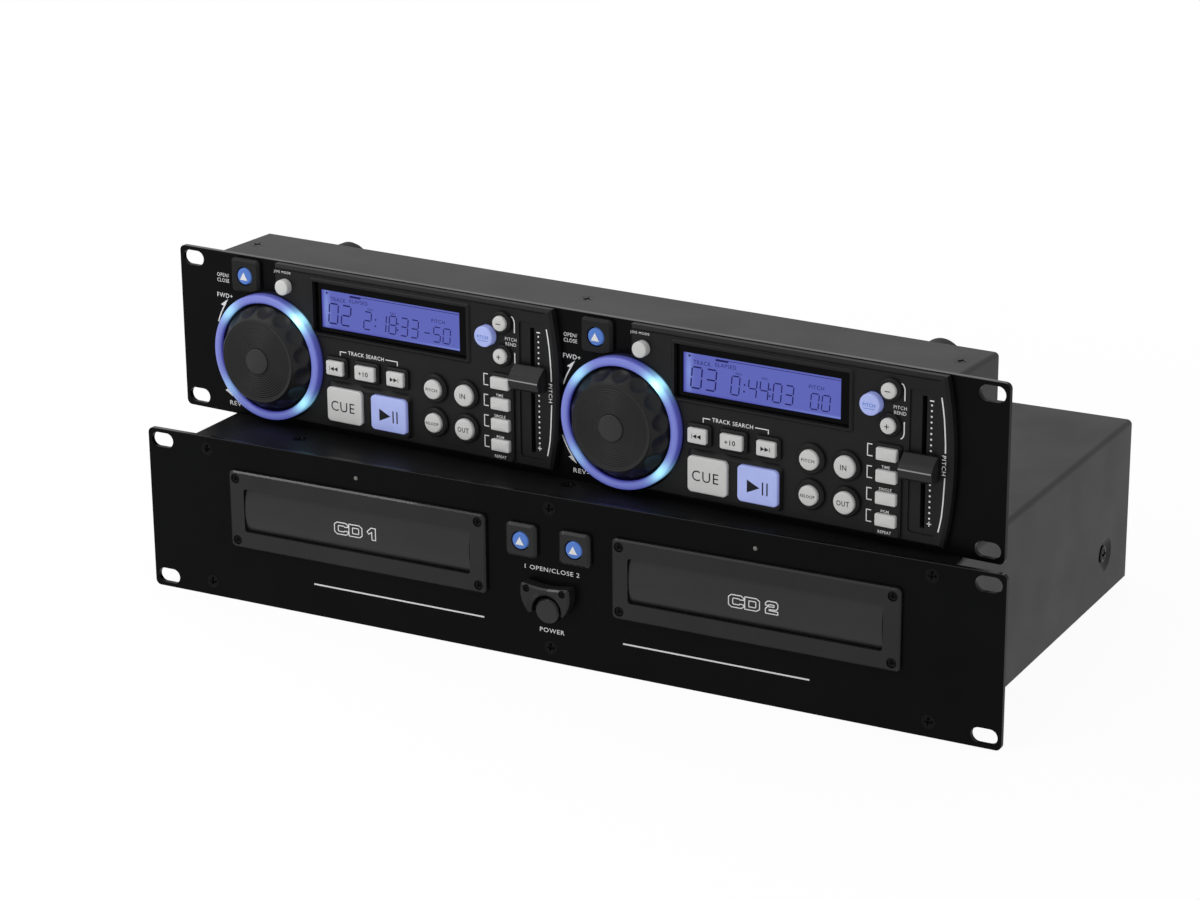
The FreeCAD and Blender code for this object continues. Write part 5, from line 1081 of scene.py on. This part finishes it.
# %% Finishes for the CAD nodes
FINISH_OF = {
    "player_front_panel": PLAYER_PAINT, "controller_front_panel": CONTROLLER_PAINT,
    "player_cover": PLAYER_COAT, "player_chassis": PLAYER_COAT, "controller_case": CASE_COAT,
    "player_trim": BEZEL, "deck_mouldings": FASCIA, "disc_tray_1": TRAY, "disc_tray_2": TRAY,
    "power_button": TRAY, "disc_drives": DRIVE, "disc_spindle_1": DRIVE, "disc_spindle_2": DRIVE,
    "player_boards": PLAYER_BOARDS, "controller_board": CONTROLLER_BOARD, "controller_feet": RUBBER,
    "jog_light_rings": GLOW, "display_units": DISPLAY_MASK,
}
for name, node in NODES.items():
    moving = KNOB if name.endswith("pitch_fader") else WHEEL if name.endswith("wheel") else KEY_GREY
    node.data.materials.clear()
    node.data.materials.append(FINISH_OF.get(name, moving))
print("finished nodes:", len(NODES))

# %% [markdown]
# ## Room, light and camera
# The floor is a wide pale sheet. To the camera, and in reflections, it is white, and it keeps a
# faint share of its own shading so that the shadow under the player shows. The same test of the
# ray's kind keeps the world white to the eye and its light a little lower.

# %% Floor and world
FLOOR_CORNERS = [(-9.0, -6.0, 0.0), (9.0, -6.0, 0.0), (9.0, 14.0, 0.0), (-9.0, 14.0, 0.0)]
WHITE_SHARE, WHITE_STRENGTH, SKY_LIGHT = 0.9, 1.04, 0.6


def direct_rays(tree):
    """1 for a ray from the camera, a reflection or a transmission, and 0 for a ray of diffuse light."""
    camera, glossy, through = (made(tree, "ShaderNodeLightPath", f"Is {kind} Ray", {})
                               for kind in ("Camera", "Glossy", "Transmission"))
    return combined(tree, "MAXIMUM", combined(tree, "MAXIMUM", camera, glossy), through)


def pale_floor():
    """A dull pale sheet, which is nearly covered by plain white for direct rays."""
    material, tree, shader, place = new_material("pale_floor")
    tone = blended(tree, noise(tree, place, 400.0, 2.0), (0.78, 0.78, 0.78), (0.8, 0.8, 0.8))
    fill(tree, shader, {"Base Color": tone, "Roughness": 0.9, "Specular IOR Level": 0.0})
    share = ranged(tree, direct_rays(tree), 0.0, WHITE_SHARE, 0.0, 1.0)
    white = made(tree, "ShaderNodeEmission", "Emission", {"Strength": WHITE_STRENGTH})
    mix = made(tree, "ShaderNodeMixShader", "Shader", {"Fac": share, 1: shader.outputs["BSDF"], 2: white})
    fill(tree, tree.nodes["Material Output"], {"Surface": mix})
    return material


floor_mesh = bpy.data.meshes.new("floor")
floor_mesh.from_pydata(FLOOR_CORNERS, [], [(0, 1, 2, 3)])
floor_mesh.materials.append(pale_floor())
floor = in_scene("floor", floor_mesh)

world = bpy.data.worlds.new("studio")
bpy.context.scene.world = world
world.use_nodes = True
sky = world.node_tree
fill(sky, sky.nodes["Background"], {"Strength": ranged(sky, direct_rays(sky), SKY_LIGHT, 1.0, 0.0, 1.0),
                                    "Color": (1.0, 1.0, 1.0, 1.0)})
print("floor reaches from", FLOOR_CORNERS[0][:2], "to", FLOOR_CORNERS[2][:2])

# %% [markdown]
# The lamps are large and soft: one high on the left in front, one high at the rear that draws the
# top edges, and one low at the rear on the right that lights the player's side. A lamp shines along
# its own downward axis, so it is tipped by its angle from straight down and then turned to its aim.

# %% Lamps
def soft_lamp(name, at, aim, width, height, watts):
    """Rectangular lamp at a place in metres; tip = arccos of the share of its way that goes down."""
    light = bpy.data.lights.new(name, "AREA")
    light.shape = "RECTANGLE"
    light.size, light.size_y, light.energy = width, height, watts
    lamp = in_scene(name, light)
    lamp.location = at
    way = np.array(aim, float) - np.array(at, float)
    lamp.rotation_euler = (math.acos(-way[2] / np.linalg.norm(way)), 0.0, math.atan2(way[0], -way[1]))


soft_lamp("key_lamp", (-1.1, -1.2, 1.9), (0, 0, 0.08), 1.2, 1.2, 80)
soft_lamp("rear_lamp", (0.3, 1.5, 1.6), (0, 0, 0.1), 1.8, 0.7, 26)
soft_lamp("low_rear_lamp", (1.2, 1.7, 0.5), (0.1, 0, 0.08), 1.4, 0.6, 14)

# %% [markdown]
# The camera stands a metre and a half in front and to the right, and looks down by less than
# twenty degrees. Its focal length is long, so the two front panels stay nearly parallel. Its three
# axes come from three angles: a turn about the upright, a tilt down, and a slight roll.

# %% Camera
FRAME_W, FOCAL_PX, SENSOR = 1200, 3283.9, 36.0
CAMERA_AT = (748.3, -1332.1, 627.84)
AZIMUTH, ELEVATION, ROLL = (math.radians(a) for a in (28.373, 18.654, -0.45))
camera_data = bpy.data.cameras.new("camera")
camera_data.sensor_width = SENSOR
camera_data.lens = FOCAL_PX / FRAME_W * SENSOR
camera_data.clip_start, camera_data.clip_end = 0.1, 60.0
camera = in_scene("camera", camera_data)
ahead = np.array([-math.sin(AZIMUTH) * math.cos(ELEVATION), math.cos(AZIMUTH) * math.cos(ELEVATION),
                  -math.sin(ELEVATION)])
level = np.array([math.cos(AZIMUTH), math.sin(AZIMUTH), 0.0])
upward = np.cross(level, ahead)
turned_to = np.eye(4)
turned_to[:3, 0] = math.cos(ROLL) * level + math.sin(ROLL) * upward
turned_to[:3, 1] = -math.sin(ROLL) * level + math.cos(ROLL) * upward
turned_to[:3, 2] = -ahead
turned_to[:3, 3] = on_player(*CAMERA_AT)
camera.matrix_world = Matrix(turned_to.tolist())
bpy.context.scene.camera = camera
bpy.context.scene.view_settings.view_transform = "Standard"
print("lens", round(camera_data.lens, 2), "mm")
